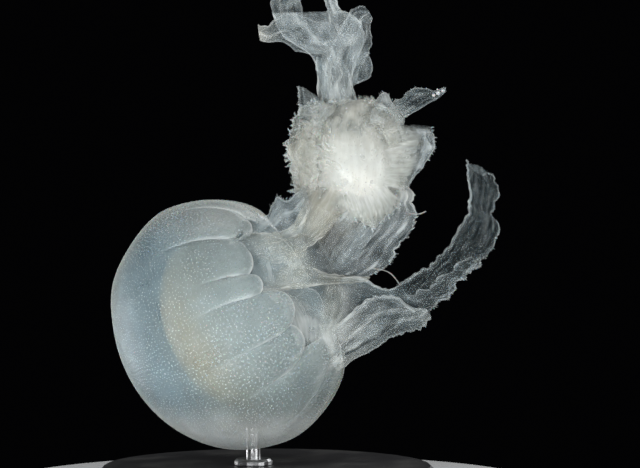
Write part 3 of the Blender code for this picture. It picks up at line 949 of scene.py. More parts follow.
@dataclass
class Veil:
    """A thin pleated sheet of tissue between two edges.

    The bow is how far its middle stands out, the fold the height of its pleats and the folds their
    number, the tear the raggedness of its edges, the ruffle their wave, the lace how far it is
    worn to holes, the rib and the edge its thicknesses, and the cover how much light one face
    stops. The base and the tip are how much denser it grows at its ends, the reach the share of
    its length that the base takes, the fade the shares of its length over which it thins away at
    its ends, the thin the shares of its width over which it does so at its edges, and the leaf
    the size of its fringe. The pleats of a turned veil run across it, and the slant is how many
    widths they cross on the way along. Each of the ribs is a thicker line from one place across it
    to another, painted paler as painted light of a fold seen edge-on.
    """

    name: str
    left: tuple
    right: tuple
    folds: float = 2.0
    fold: float = 0.8
    bow: float = 1.5
    cover: float = 0.2
    white: float = 0.1
    cream: float = 0.1
    rib: float = 0.9
    edge: float = 0.45
    tear: float = 0.5
    ruffle: float = 0.5
    lace: float = 0.0
    base: float = 0.0
    tip: float = 0.0
    reach: float = 0.25
    fade: tuple[float, float] = (0.0, 0.0)
    thin: tuple[float, float] = (0.0, 0.0)
    turned: bool = False
    slant: float = 0.0
    ribs: tuple = ()
    fringe: Edge = Edge.NONE
    leaf: float = 1.0
    rows: int = 40
    columns: int = 20
    seed: int = 1

    def jag(self, run: Array, shift: float) -> Array:
        """A ragged line along an edge.

        Args:
            run: millimetres along the edge.
            shift: choice of the line.

        Returns:
            Offsets from about -1 to 1.
        """
        phase = self.seed * 1.7 + shift
        wave = 1.3 * np.abs(np.sin(run / 4.1 + phase)) + np.abs(np.sin(run / 1.55 + 2.3 * phase))
        wave += 0.5 * np.sin(run / 0.71 + 3.1 * phase)
        return (wave - 1.2) * (0.7 + 0.3 * np.sin(run / 5.7 + phase)) / 1.5

    def spans(self) -> tuple[float, float]:
        """Measures the veil.

        Returns:
            Length of its middle line and its mean width.
        """
        u = np.linspace(0, 1, 40)
        left, right = glide(self.left, u), glide(self.right, u)
        length = np.linalg.norm(np.diff((left + right) / 2, axis=0), axis=-1).sum()
        return float(length), float(np.linalg.norm(right - left, axis=-1).mean())

    def middle(self, u: Array, v: Array) -> Array:
        """Points of its mid surface.

        Args:
            u: places along it, from 0 to 1.
            v: places across it, from 0 to 1.

        Returns:
            The points.
        """
        left, right = glide(self.left, u), glide(self.right, u)
        across = unit(right - left)
        ahead, behind = np.minimum(u + 0.02, 1), np.maximum(u - 0.02, 0)
        down = unit(glide(self.left, ahead) + glide(self.right, ahead)
                    - glide(self.left, behind) - glide(self.right, behind))
        out = unit(np.cross(down, across))
        out = out * np.where(out[..., 1:2] > 0, -1.0, 1.0)
        run = u * self.spans()[0]
        torn = self.tear * (self.jag(run, 0.4) * v ** 5 - self.jag(run, 2.9) * (1 - v) ** 5)
        if self.turned:
            soft = np.clip(v, 0, 1) ** 0.5
        else:
            soft = np.sin(math.pi * np.clip(v, 0.02, 0.98)) ** 0.4
        lift = self.fold * self.pleats(u, v)[0] * soft + self.bow * 4 * v * (1 - v)
        lift += self.ruffle * v ** 4 * np.sin(run / 1.35 + self.seed)
        lift += self.ruffle * (1 - v) ** 4 * np.sin(run / 1.6 + 2 * self.seed)
        return (left + (right - left) * v[..., None] + across * torn[..., None]
                + out * lift[..., None])

    def pleats(self, u: Array, v: Array) -> tuple[Array, Array]:
        """Wandering pleats that fade in and out along the veil.

        Args:
            u: places along it, from 0 to 1.
            v: places across it, from 0 to 1.

        Returns:
            Their height from about -1 to 1, and how far each place is on a sharp crest.
        """
        if self.turned:
            u, v = v, u
        drift = v - self.slant * u + 0.08 * np.sin(7.5 * u + self.seed)
        drift = drift + 0.04 * np.sin(16.0 * u + 5 * v + 2 * self.seed)
        turn = FULL_TURN * self.folds * drift + self.seed
        alive = 0.5 + 0.5 * np.sin(4.1 * u + 2.3 * self.folds * v + 3 * self.seed)
        height = 0.5 * np.sin(turn) * (0.4 + 0.6 * alive) + 0.18 * np.sin(2.3 * turn + 5 * u)
        return height, np.clip(np.sin(turn), 0, 1) ** 4 * alive

    def shell(self) -> Shell:
        """Gives the mid surface its thickness.

        Returns:
            The closed veil.
        """
        places = (1 - np.cos(math.pi * np.linspace(0, 1, self.columns))) / 2
        places = 0.6 * places + 0.4 * np.linspace(0, 1, self.columns)
        u, v = np.meshgrid(np.linspace(0, 1, self.rows), places, indexing="ij")
        step = 0.01
        down = self.middle(np.minimum(u + step, 1), v) - self.middle(np.maximum(u - step, 0), v)
        over = self.middle(u, v + step) - self.middle(u, v - step)
        length, width = self.spans()
        ridge = self.pleats(u, v)[1]
        pale = sum((np.exp(-((v - a - (b - a) * u) * width / 0.55) ** 2) for a, b in self.ribs),
                   0 * u)
        thick = self.edge + (self.rib - self.edge) * np.maximum(ridge ** 0.5, pale)
        mid = self.middle(u, v)
        sides = unit(np.cross(over, down)) * (thick / 2)[..., None]
        run, side = (u * length, v * width) if self.turned else (v * width, u * length)
        masks = self.masks(u, v, mid, ridge, pale)
        masks["grain"] = grid(run / 1.1 + 40 * self.seed, side / 11 + 0.02 * run, 0)
        return slab_shell(self.name, mid - sides, mid + sides, masks)

    def masks(self, u: Array, v: Array, mid: Array, ridge: Array,
              pale: Array) -> dict[str, Array]:
        """Tone and cover of its places.

        Args:
            u: places along it, from 0 to 1.
            v: places across it, from 0 to 1.
            mid: points of its mid surface.
            ridge: how far each place is on the crest of a pleat.
            pale: how far it is on a rib.

        Returns:
            The masks by name.
        """
        span = np.linalg.norm(glide(self.right, u) - glide(self.left, u), axis=-1)
        rim = np.exp(-(np.minimum(v, 1 - v) * span / 0.45) ** 2)
        cloud = wrinkle(mid, 7.0, 40 + self.seed)
        dense = self.base * np.exp(-(u / self.reach) ** 2)
        dense = dense + self.tip * np.exp(-((1 - u) / 0.25) ** 2)
        # painted light: pleat crests and ribs are painted denser and whiter, as folds seen
        # edge-on, over their real extra thickness
        cover = self.cover * (1 + 0.9 * ridge + 0.3 * cloud) + 0.16 * rim + 0.06 * ridge
        cover += 0.17 * pale * (0.6 + 0.4 * cloud)
        cover += 0.7 * dense
        if self.lace:
            cover *= 1 - self.lace * ease((wrinkle(mid, 3.4, 70 + self.seed) - 0.1) / 0.6)
        for place, share in zip((u, 1 - u, v, 1 - v), (*self.fade, *self.thin)):
            if share:
                cover *= ease(place / share)
        return {"cream": np.clip(self.cream + 0.6 * dense, 0, 1),
                "white": (self.white * (1 + 0.3 * cloud) + 0.18 * rim + 0.10 * ridge
                          + 0.15 * pale + 0.35 * dense),
                "cover": np.clip(cover, 0.02, 1.0), "fibre": 0.5 - 0.3 * rim}

    def host(self) -> bpy.types.Object:
        """Shapes narrow strips along its fringed edges, which carry the leaves.

        Returns:
            The strips.
        """
        u = np.linspace(0.04, 1, 2 * self.rows)
        rows = len(u)
        points, faces, ways, roots = [], [], [], []
        for side in self.fringe.value:
            inward = 0.05 if side == 0.0 else -0.05
            strip = [self.middle(u, side + inward + 0 * u), self.middle(u, side + 0 * u)]
            faces += quads(2, rows, start=len(points) * rows)
            points += strip
            ways += [unit(strip[1] - strip[0])] * 2
            roots += [grid((self.seed + 0.3 + 0.4 * side) / FRINGE_CELLS, u, 0)] * 2
        layers = {"flow": np.concatenate(ways), "root": np.concatenate(roots),
                  "big": np.full(len(points) * rows, self.leaf)}
        return Shell(self.name + "_host", np.concatenate(points), faces, layers).build()


def petal(name: str, left: tuple, right: tuple, **settings: object) -> Veil:
    """A thick leaf-like veil that opens out of the frilled mass, pleated across.

    Args:
        name: its name.
        left: its edge in the mass.
        right: its free edge.
        settings: what differs from the other petals.

    Returns:
        The petal.
    """
    shared = {"bow": 3.0, "cover": 0.26, "white": 0.1, "cream": 0.4, "tear": 1.8,
              "fade": (0.15, 0.15), "thin": (0.45, 0.0), "turned": True, "fringe": Edge.RIGHT,
              "rows": 46, "columns": 12}
    return Veil(name, left, right, **(shared | settings))


@dataclass
class Pillar:
    """The thick foot of the first arm, from the mouth to the frilled mass."""

    route: tuple = ((17.5, -9.0, 84.0), (17.5, -10.0, 96.0), (22.0, -8.0, 106.0),
                    (29.0, -4.0, 117.0), (34.0, 0.0, 127.0))
    radii: tuple = ((9.0, 6.0), (10.5, 7.0), (11.5, 7.5), (12.5, 8.0), (12.0, 8.0))
    rows: int = 36
    columns: int = 60

    def shell(self) -> Shell:
        """Shapes lengthwise pleats round the route.

        Returns:
            The closed pillar.
        """
        run = np.linspace(0, 1, self.rows)[:, None]
        turn = round_places(self.columns)[None]
        way = unit(glide(self.route, np.minimum(run + 0.01, 1))
                   - glide(self.route, np.maximum(run - 0.01, 0)))
        across = unit(np.cross(way, np.array([0.0, -1.0, 0.0])))
        pleat = 1 + 0.07 * np.sin(3 * turn + 2 * run) + 0.045 * np.sin(9 * turn + 5 * run)
        pleat = pleat + 0.03 * np.sin(17 * turn - 4 * run + 1)
        centre, size = glide(self.route, run), glide(self.radii, run)
        rings = centre + (pleat * np.cos(turn) * size[..., 0])[..., None] * across
        rings = rings + (pleat * np.sin(turn) * size[..., 1])[..., None] * np.cross(across, way)
        ridge = 0.5 + 0.5 * np.sin(9 * turn + 5 * run)
        rise = ease((run - 0.1) / 0.8)
        bare = ease((np.cos(turn) + 0.1) / 0.5) * (1 - ease((run - 0.62) / 0.3))
        layers = {"cream": 0.35 + 0.25 * rise, "white": 0.05 + 0.12 * rise + 0.04 * ridge,
                  "cover": (0.17 + 0.45 * rise + 0.06 * ridge) * (1 - 0.88 * bare),
                  "fibre": 0.6 - 0.25 * rise, "grain": grid(turn * 8, run * 2.0, 90)}
        return loft_shell("pillar", rings, centre[0, 0], centre[-1, 0], layers)


@dataclass
class FrillMass:
    """The dense white mass of gathered frills on the first arm.

    The nest is the layers inside it, as shares of its size with their covers, and the spread is
    how far its painted glow, light painted into the flesh, reaches below, above, across, in front
    and behind.
    """

    centre: Array
    radii: Array
    rows: int = 54
    columns: int = 90
    # centre of the painted glow, which the leaves also lie away from
    bright: Triple = (39.3, -10.0, 127.0)
    middle: Triple = (39.0, -5.0, 128.0)
    lean: tuple[float, float] = (0.9, 0.44)
    spread: tuple = (18.0, 20.0, 15.5, 17.0, 27.0)
    nest: tuple = ((0.92, 0.25), (0.83, 0.28), (0.74, 0.31), (0.64, 0.34), (0.53, 0.37),
                   (0.41, 0.4), (0.28, 0.45))

    @classmethod
    def from_frame(cls) -> "FrillMass":
        """The mass in the room of its solid."""
        low, high = (np.array(corner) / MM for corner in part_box("arm_1_frill_mass"))
        return cls((low + high) / 2, (high - low) / 2 - 3.0)

    def surface(self, tilt: Array, around: Array) -> Array:
        """Points of its surface.

        Args:
            tilt: radians from the top.
            around: radians round the vertical.

        Returns:
            The points.
        """
        way = grid(np.sin(tilt) * np.cos(around), np.sin(tilt) * np.sin(around), np.cos(tilt))
        plain = self.centre + way * self.radii
        lump = 1.0 + 0.03 * wrinkle(plain, 26.0, 3) + 0.015 * wrinkle(plain, 11.0, 4)
        lump += 0.012 * wrinkle(plain * np.array([1, 1, 0.35]), 4.6, 5)
        return self.centre + way * self.radii * lump[..., None]

    def painted_glow(self, points: Array) -> Array:
        """Strength of the painted glow, light painted into the flesh, brightest in a long slanting
        heart.

        Args:
            points: places in millimetres.

        Returns:
            Brightness from 0 to 1.
        """
        x, y, z = np.moveaxis(points - np.array(self.bright), -1, 0)
        rise, slant = self.lean
        below, above, wide, front, behind = self.spread
        along, across = z * rise - x * slant, z * slant + x * rise
        length, depth = np.where(along < 0, below, above), np.where(y > 0, behind, front)
        return np.exp(-(along / length) ** 2 - (across / wide) ** 2 - (y / depth) ** 2)

    def shell(self) -> Shell:
        """Shapes the lumpy body.

        Returns:
            The closed mass.
        """
        tilt = np.linspace(0.06, math.pi - 0.06, self.rows)[:, None]
        around = round_places(self.columns)[None]
        rings = self.surface(tilt, around)
        up = np.array([0, 0, self.radii[2]])
        # painted glow: over the mass's own whiteness, the flesh is painted whiter, denser and less
        # creamy towards the glow's heart
        core = self.painted_glow(rings)
        layers = {"cream": 0.5 - 0.2 * core, "white": 0.27 + 0.17 * core,
                  "cover": 0.5 + 0.2 * core, "fibre": 0.3,
                  "grain": grid(around * 12, tilt * 2, 20)}
        return loft_shell("frill_mass", rings, self.centre + up, self.centre - up, layers)

    def heart(self, finish: bpy.types.Material) -> bpy.types.Object:
        """Ever denser closed layers inside the mass.

        Args:
            finish: the flesh's material.

        Returns:
            The layers as one piece.
        """
        made, middle, shell = [], np.array(self.middle), self.shell()
        for share, cover in self.nest:
            points = middle + share * (shell.points - middle)
            crumple = wrinkle(points, 9.0, int(90 * share))[:, None]
            points = points + 1.1 * share * unit(points - middle) * crumple
            core = self.painted_glow(points)
            # painted glow: each layer is painted whiter towards the glow's heart, over its own
            # cover
            masks = shell.layers | {"cover": np.full(len(core), cover),
                                    "white": 0.19 + 0.19 * core ** 1.5 + 0.20 * core ** 6}
            layer = Shell("layer", points, shell.faces, masks).build()
            layer.data.materials.append(finish)
            made.append(outward(layer))
        return join("mass_heart", made)

    def host(self) -> bpy.types.Object:
        """Copies its surface to carry the leaves.

        Returns:
            The open surface.
        """
        tilt = np.linspace(0.10, math.pi - 0.10, self.rows)[:, None]
        around = np.linspace(0, FULL_TURN, self.columns + 1)[None]
        flat = self.surface(tilt, around).reshape(-1, 3)
        flow = flat - np.array(self.bright)
        left = ease((self.centre[0] - 4 - flat[:, 0]) / 10)
        low = ease((self.centre[2] - 6 - flat[:, 2]) / 10)
        far = ease((np.linalg.norm(flow, axis=-1) - 10) / 14)
        facing = ease((self.centre[1] - 7.0 - flat[:, 1]) / 8.0)
        # the leaves stay short where the neck grows out of the mass
        foot = ease((flat[:, 2] - 148.0) / 6.0) * ease((12.0 - np.abs(flat[:, 0] - 30.0)) / 4.0)
        foot = foot * ease((4.0 - flat[:, 1]) / 6.0)
        big = (0.30 + 0.22 * far + 0.48 * np.maximum(left, low)) * (1.0 - 0.35 * facing)
        layers = {"flow": unit(flow), "big": big * (1.0 - 0.75 * foot),
                  "root": grid(around / FULL_TURN, tilt / math.pi, 0).reshape(-1, 3)}
        return Shell("mass_host", flat, quads(self.rows, self.columns + 1), layers).build()


# ------------------------------------------------------------------ one skin


@dataclass
class Skin:
    """One closed skin joined from the shells of all the flesh.

    Points farther than the tolerance from every shell point are new ones at a join, and the skin
    is softened for some rings round them. An island with fewer points than the crumb is dropped.
    """

    shells: list[Shell]
    mass: FrillMass
    finish: FleshFinish = field(default_factory=FleshFinish)
    tolerance: float = 0.02
    smooth_rings: int = 3
    ring_share: float = 0.75
    passes: int = 10
    pass_share: float = 0.6
    crumb: int = 200

    def build(self) -> bpy.types.Object:
        """Joins the shells, carries their layers over and softens the joins.

        Returns:
            The skin.
        """
        body, *others = [outward(shell.build()) for shell in self.shells]
        for other in others:
            union = body.modifiers.new("join", "BOOLEAN")
            union.operation, union.solver, union.object = "UNION", "MANIFOLD", other
            bake(body)
        for other in others:
            bpy.data.objects.remove(other, do_unlink=True)
        self.drop_crumbs(body.data)
        self.dress(body.data)
        body.name = body.data.name = "jellyfish_skin"
        body.data.materials.clear()
        body.data.materials.append(self.finish.make())
        body.data.shade_smooth()
        return body

    def drop_crumbs(self, mesh: bpy.types.Mesh) -> None:
        """Removes the small loose islands that a join has left.

        Args:
            mesh: the joined mesh.
        """
        work = bmesh.new()
        work.from_mesh(mesh)
        seen, islands = set(), []
        for vert in work.verts:
            if vert in seen:
                continue
            island, front = [], [vert]
            seen.add(vert)
            while front:
                here = front.pop()
                island.append(here)
                fresh = {edge.other_vert(here) for edge in here.link_edges} - seen
                seen |= fresh
                front += fresh
            islands.append(island)
        LOG.info("skin has %d islands: %s", len(islands), sorted(map(len, islands))[-8:])
        small = [vert for island in islands if len(island) < self.crumb for vert in island]
        bmesh.ops.delete(work, geom=small, context="VERTS")
        work.to_mesh(mesh)
        work.free()

    def dress(self, mesh: bpy.types.Mesh) -> None:
        """Writes the layers of the nearest shell points, paints the frilled mass's glow over the
        parts near it and smooths round the new joins.

        Args:
            mesh: the joined mesh.
        """
        for name in (*MASKS, "grain"):
            if name in mesh.attributes:
                mesh.attributes.remove(mesh.attributes[name])
        tree = kdtree.KDTree(sum(len(shell.points) for shell in self.shells))
        for index, point in enumerate(np.concatenate([shell.points for shell in self.shells])):
            tree.insert(point, index)
        tree.balance()
        places = np.zeros(len(mesh.vertices) * 3)
        mesh.vertices.foreach_get("co", places)
        places = places.reshape(-1, 3) / MM
        _, nearest, away = zip(*(tree.find(place) for place in places))
        nearest, away = np.array(nearest), np.array(away)
        layers = {name: np.concatenate([shell.layers[name] for shell in self.shells])[nearest]
                  for name in (*MASKS, "grain")}
        # painted glow: near the frilled mass's heart every part is painted at least this white,
        # creamy and dense
        painted_glow = self.mass.painted_glow(places)
        for name, least in (("white", 0.38 * painted_glow ** 1.5 + 0.22 * painted_glow ** 6),
                            ("cream", 0.5 * painted_glow), ("cover", 0.8 * painted_glow)):
            layers[name] = np.maximum(layers[name], least)
        edges = np.zeros(len(mesh.edges) * 2, int)
        mesh.edges.foreach_get("vertices", edges)
        start, end = edges.reshape(-1, 2).T
        near = (away > self.tolerance).astype(float)
        for _ in range(self.smooth_rings):
            wider = near.copy()
            np.maximum.at(wider, start, near[end] * self.ring_share)
            np.maximum.at(wider, end, near[start] * self.ring_share)
            near = wider
        degree = np.bincount(edges, minlength=len(places)).clip(1)[:, None]
        table = np.column_stack([places, *[layers[name] for name in MASKS]])
        for _ in range(self.passes):
            total = np.zeros_like(table)
            np.add.at(total, start, table[end])
            np.add.at(total, end, table[start])
            table += self.pass_share * near[:, None] * (total / degree - table)
        mesh.vertices.foreach_set("co", (table[:, :3] * MM).ravel())
        for name, values in zip(MASKS, table[:, 3:].T):
            add_layer(mesh, name, values)
        add_layer(mesh, "grain", layers["grain"])


# ------------------------------------------------------------------ growths


class GrowthTree(Nodes):
    """A Geometry Nodes tree with named inputs that is run once on an object."""

    KINDS = {float: "Float", int: "Int", bpy.types.Collection: "Collection"}

    def __init__(self, name: str, values: dict[str, object]) -> None:
        """Opens the tree with one geometry in and out.

        Args:
            name: name of the tree.
            values: numbers or collections that its other inputs take, by name.
        """
        super().__init__(bpy.data.node_groups.new(name, "GeometryNodeTree"))
        face = self.tree.interface
        for way in ("OUTPUT", "INPUT"):
            face.new_socket("Geometry", in_out=way, socket_type="NodeSocketGeometry")
        self.settings = {}
        for label, value in values.items():
            socket = face.new_socket(label, in_out="INPUT",
                                     socket_type="NodeSocket" + self.KINDS[type(value)])
            self.settings[socket.identifier] = value
        self.given = self.add("NodeGroupInput").outputs

    def named(self, name: str, kind: str = "FLOAT_VECTOR") -> bpy.types.NodeSocket:
        """A named attribute of the points."""
        node = self.add("GeometryNodeInputNamedAttribute", {"Name": name}, data_type=kind)
        return node.outputs["Attribute"]

    def chance(self, low: object, high: object, seed: int) -> bpy.types.NodeSocket:
        """A random number for each point.

        Args:
            low: the least number or its socket.
            high: the greatest number or its socket.
            seed: choice of the numbers.

        Returns:
            The output socket.
        """
        node = self.add("FunctionNodeRandomValue", {2: low, 3: high, "Seed": seed},
                        data_type="FLOAT")
        return node.outputs[1]

    def run(self, thing: bpy.types.Object, geometry: bpy.types.NodeSocket,
            material: bpy.types.Material) -> bpy.types.Object:
        """Closes the tree and turns an object's mesh into its result.

        Args:
            thing: the object that the tree starts from.
            geometry: socket of the finished shape, whose instances are real.
            material: its finish.

        Returns:
            The object.
        """
        dressed = self.add("GeometryNodeSetMaterial", {"Geometry": geometry,
                                                       "Material": material})
        self.add("NodeGroupOutput", {0: dressed.outputs[0]})
        modifier = thing.modifiers.new("growth", "NODES")
        modifier.node_group = self.tree
        for identifier, value in self.settings.items():
            modifier[identifier] = value
        bake(thing)
        if not thing.data.materials:
            thing.data.materials.append(material)
        return thing


class Growth(Enum):
    """Kinds of small growth that are scattered over the skin."""

    WART = "wart"
    GRAIN = "grain"
    LEAF = "leaf"


def leaf_shell(variant: int) -> Shell:
    """A crinkled frill leaf of length one that grows along y from its root.

    Args:
        variant: choice of its crinkles.

    Returns:
        The closed leaf.
    """
    rows, columns, half_thickness = 6, 3, 0.025
    v, u = np.meshgrid(np.linspace(-1, 1, columns), np.linspace(0, 1, rows))
    chance = np.random.default_rng(100 + variant)
    width, bend, wave, frill = chance.uniform(0, 6, 4)
    half = 0.15 * np.sin(math.pi * (0.12 + 0.80 * u)) ** 0.6 * (1 + 0.25 * np.sin(7 * u + width))
    x = half * v + 0.10 * np.sin(3 * u + bend)
    z = 0.14 * np.sin(9 * u + 2 * v + wave) * u + 0.06 * v * v + 0.12 * u * u
    y = u * (1 + 0.16 * np.sin(5 * v + frill) * u)
    mid, lift = grid(x, y, z), np.array([0, 0, half_thickness])
    return slab_shell("leaf", mid + lift, mid - lift, {})


def knob_shell(sides: int, levels: tuple, top: float) -> Shell:
    """A low round knob of width one, sunk a little into the skin.

    Args:
        sides: number of its sides.
        levels: radius and height of each of its rings.
        top: its height.

    Returns:
        The closed knob.
    """
    rings = np.array([[(r * math.cos(a), r * math.sin(a), z) for a in round_places(sides)]
                      for r, z in levels])
    return loft_shell("knob", rings, np.array([0, 0, -0.2]), np.array([0, 0, top]), {})


def growth_object(kind: Growth, variant: int) -> bpy.types.Object:
    """One growth at unit size, standing on its root, closed and low in faces.

    Args:
        kind: the kind of growth.
        variant: choice of its crinkles.

    Returns:
        The object, which isn't linked to the scene.
    """
    if kind is Growth.LEAF:
        shell = leaf_shell(variant)
    elif kind is Growth.WART:
        shell = knob_shell(6, ((0.5, -0.14), (0.36, 0.13)), 0.24)
    else:
        shell = knob_shell(5, ((0.5, -0.05),), 0.26)
    mesh = bpy.data.meshes.new(f"{kind.value}_{variant}")
    mesh.from_pydata(shell.points.tolist(), [], shell.faces)
    add_layer(mesh, "local", shell.points - np.array([0, 0.5 if kind is Growth.LEAF else 0, 0]))
    mesh.shade_smooth()
    return outward(bpy.data.objects.new(mesh.name, mesh))


@dataclass
class Scatter:
    """Growths set by a Geometry Nodes tree over a surface with flow, root and big attributes."""

    kind: Growth
    variants: int = 1
    spacing: float = 2.0
    small: float = 0.8
    large: float = 1.2
    lean_low: float = 0.0
    lean_high: float = 0.0
    stray: float = 0.0
    seed: int = 1
    density: float = 4.0e6
    least: float = 0.22
    cell: float = 0.003

    def build(self, name: str, host: bpy.types.Object,
              material: bpy.types.Material) -> bpy.types.Object:
        """Scatters over a host, which is used up.

        Args:
            name: name of the finished piece.
            host: the surface.
            material: finish of the growths.

        Returns:
            The finished piece.
        """
        shelf = bpy.data.collections.new(name + "_shelf")
        for variant in range(self.variants):
            shelf.objects.link(growth_object(self.kind, variant))
        nodes = GrowthTree(f"scatter_{self.kind.value}_{self.seed}", {
            "Spacing": self.spacing * MM, "Smallest": self.small * MM,
            "Largest": self.large * MM, "Lean low": self.lean_low, "Lean high": self.lean_high,
            "Stray": self.stray, "Seed": self.seed, "Growths": shelf})
        nodes.run(host, self.growths(nodes), material)
        for growth in list(shelf.objects):
            bpy.data.objects.remove(growth, do_unlink=True)
        bpy.data.collections.remove(shelf)
        host.name = host.data.name = name
        host.data.shade_smooth()
        return host

    def growths(self, nodes: GrowthTree) -> bpy.types.NodeSocket:
        """Adds the nodes that set, turn and size the growths.

        Args:
            nodes: the tree.

        Returns:
            The socket of the growths, each with its own place to bake its colour to.
        """
        given = nodes.given
        points = nodes.add("GeometryNodeDistributePointsOnFaces",
                           {"Mesh": given["Geometry"], "Distance Min": given["Spacing"],
                            "Density Max": self.density, "Seed": given["Seed"]},
                           distribute_method="POISSON").outputs
        rotation = points["Rotation"]
        if self.kind is Growth.LEAF:
            rotation = self.lie(nodes, points["Normal"])
        size = nodes.math("MULTIPLY", nodes.chance(given["Smallest"], given["Largest"], 7),
                          nodes.named("big", "FLOAT"))
        shapes = nodes.add("GeometryNodeCollectionInfo",
                           {"Collection": given["Growths"], "Separate Children": True,
                            "Reset Children": True})
        chosen = nodes.add("GeometryNodeInstanceOnPoints",
                           {"Points": points["Points"],
                            "Selection": nodes.math("GREATER_THAN", size, self.least * MM),
                            "Instance": shapes.outputs[0], "Pick Instance": True,
                            "Rotation": rotation, "Scale": size})
        real = nodes.add("GeometryNodeRealizeInstances", {"Geometry": chosen.outputs[0]})
        patch = nodes.vector("SCALE", nodes.named("local"), self.cell)
        spot = nodes.vector("ADD", nodes.named("root"), patch)
        stored = nodes.add("GeometryNodeStoreNamedAttribute",
                           {"Geometry": real.outputs[0], "Name": "OFBake", "Value": spot},
                           data_type="FLOAT2", domain="CORNER")
        return stored.outputs[0]

    def lie(self, nodes: GrowthTree, normal: bpy.types.NodeSocket) -> bpy.types.NodeSocket:
        """Adds the nodes that lay leaves along the flow, some leaning out or astray.

        Args:
            nodes: the tree.
            normal: socket of the surface's normal.

        Returns:
            The socket of the rotation.
        """
        lean = nodes.chance(nodes.given["Lean low"], nodes.given["Lean high"], 5)
        stray = nodes.add("FunctionNodeRandomValue", {0: (-1, -1, -1), 1: (1, 1, 1), "Seed": 6},
                          data_type="FLOAT_VECTOR").outputs[0]
        way = nodes.vector("ADD", nodes.named("flow"), nodes.vector("SCALE", normal, lean))
        way = nodes.vector("ADD", way, nodes.vector("SCALE", stray, nodes.given["Stray"]))
        lying = nodes.add("FunctionNodeAlignRotationToVector", {"Vector": way}, axis="Y")
        turned = nodes.add("FunctionNodeAlignRotationToVector",
                           {"Rotation": lying.outputs[0], "Vector": normal},
                           axis="Z", pivot_axis="Y")
        return turned.outputs[0]


@dataclass
class Threads:
    """Fine loose threads of the frills, as tubes swept along curves."""

    radius: float = 0.26
    sides: int = 10
    steps: int = 48
    beats: float = 37.0
    beat: float = 0.18
    routes: tuple = (
        ((57.5, -6, 114.2), (60.5, -7.2, 113.4), (63.5, -7.4, 113.4), (66.2, -7, 114.5)),
        ((44, 1, 90.5), (48, -0.5, 90), (51.5, -1.5, 88.5), (54, -1.5, 85.8), (55.5, -0.5, 83.6)))

    def build(self, finish: bpy.types.Material) -> bpy.types.Object:
        """Sweeps a round section along each route.

        Args:
            finish: material of the threads.

        Returns:
            The finished piece.
        """
        points, edges = [], []
        for route in self.routes:
            start = len(points)
            points += [tuple(part * MM for part in point) for point in route]
            edges += [(k, k + 1) for k in range(start, len(points) - 1)]
        mesh = bpy.data.meshes.new("frill_threads")
        mesh.from_pydata(points, edges, [])
        nodes = GrowthTree("thread_sweep", {"Radius": self.radius * MM, "Sides": self.sides,
                                            "Steps": self.steps})
        return outward(nodes.run(link(mesh), self.tubes(nodes), finish))

    def tubes(self, nodes: GrowthTree) -> bpy.types.NodeSocket:
        """Adds the nodes that turn the routes into tubes of uneven thickness.

        Args:
            nodes: the tree.

        Returns:
            The socket of the tubes.
        """
        given = nodes.given
        curve = nodes.add("GeometryNodeMeshToCurve", {"Mesh": given["Geometry"]})
        smooth = nodes.add("GeometryNodeCurveSplineType", {"Curve": curve.outputs[0]},
                           spline_type="CATMULL_ROM")
        even = nodes.add("GeometryNodeResampleCurve", {"Curve": smooth.outputs[0],
                                                       "Count": given["Steps"]})
        along = nodes.add("GeometryNodeSplineParameter").outputs["Factor"]
        wave = nodes.math("SINE", nodes.math("MULTIPLY", along, self.beats))
        share = nodes.math("ADD", nodes.math("MULTIPLY", wave, self.beat), 1.0)
        sized = nodes.add("GeometryNodeSetCurveRadius", {"Curve": even.outputs[0],
                                                         "Radius": share})
        ring = nodes.add("GeometryNodeCurvePrimitiveCircle", {"Radius": given["Radius"],
                                                              "Resolution": given["Sides"]})
        tube = nodes.add("GeometryNodeCurveToMesh", {"Curve": sized.outputs[0],
                                                     "Profile Curve": ring.outputs[0],
                                                     "Scale": share, "Fill Caps": True})
        soft = nodes.add("GeometryNodeSetShadeSmooth", {"Geometry": tube.outputs[0]})
        real = nodes.add("GeometryNodeRealizeInstances", {"Geometry": soft.outputs[0]})
        return real.outputs[0]


@dataclass
class Beads:
    """Clear round beads that cling to the tip of the top flap and to the foot of the neck.

    Each bead is its place and its radius.
    """

    beads: tuple = ((69.5, -4.4, 163.0, 0.75), (71.4, -4.6, 163.9, 0.95),
                    (73.4, -4.4, 164.9, 0.8), (71.0, -4.3, 165.5, 0.35),
                    (33.0, -8.4, 157.3, 0.32), (33.1, -9.8, 155.9, 0.32))
    fineness: int = 3

    def build(self, finish: bpy.types.Material) -> bpy.types.Object:
        """The beads as one piece.

        Args:
            finish: its material.

        Returns:
            The finished piece.
        """
        made = []
        for *place, radius in self.beads:
            mesh = bpy.data.meshes.new("bead")
            ball = bmesh.new()
            bmesh.ops.create_icosphere(ball, subdivisions=self.fineness, radius=radius * MM,
                                       matrix=Matrix.Translation([p * MM for p in place]))
            ball.to_mesh(mesh)
            ball.free()
            mesh.materials.append(finish)
            mesh.shade_smooth()
            made.append(link(mesh))
        return join("clear_beads", made)


# ------------------------------------------------------------------ all the veils


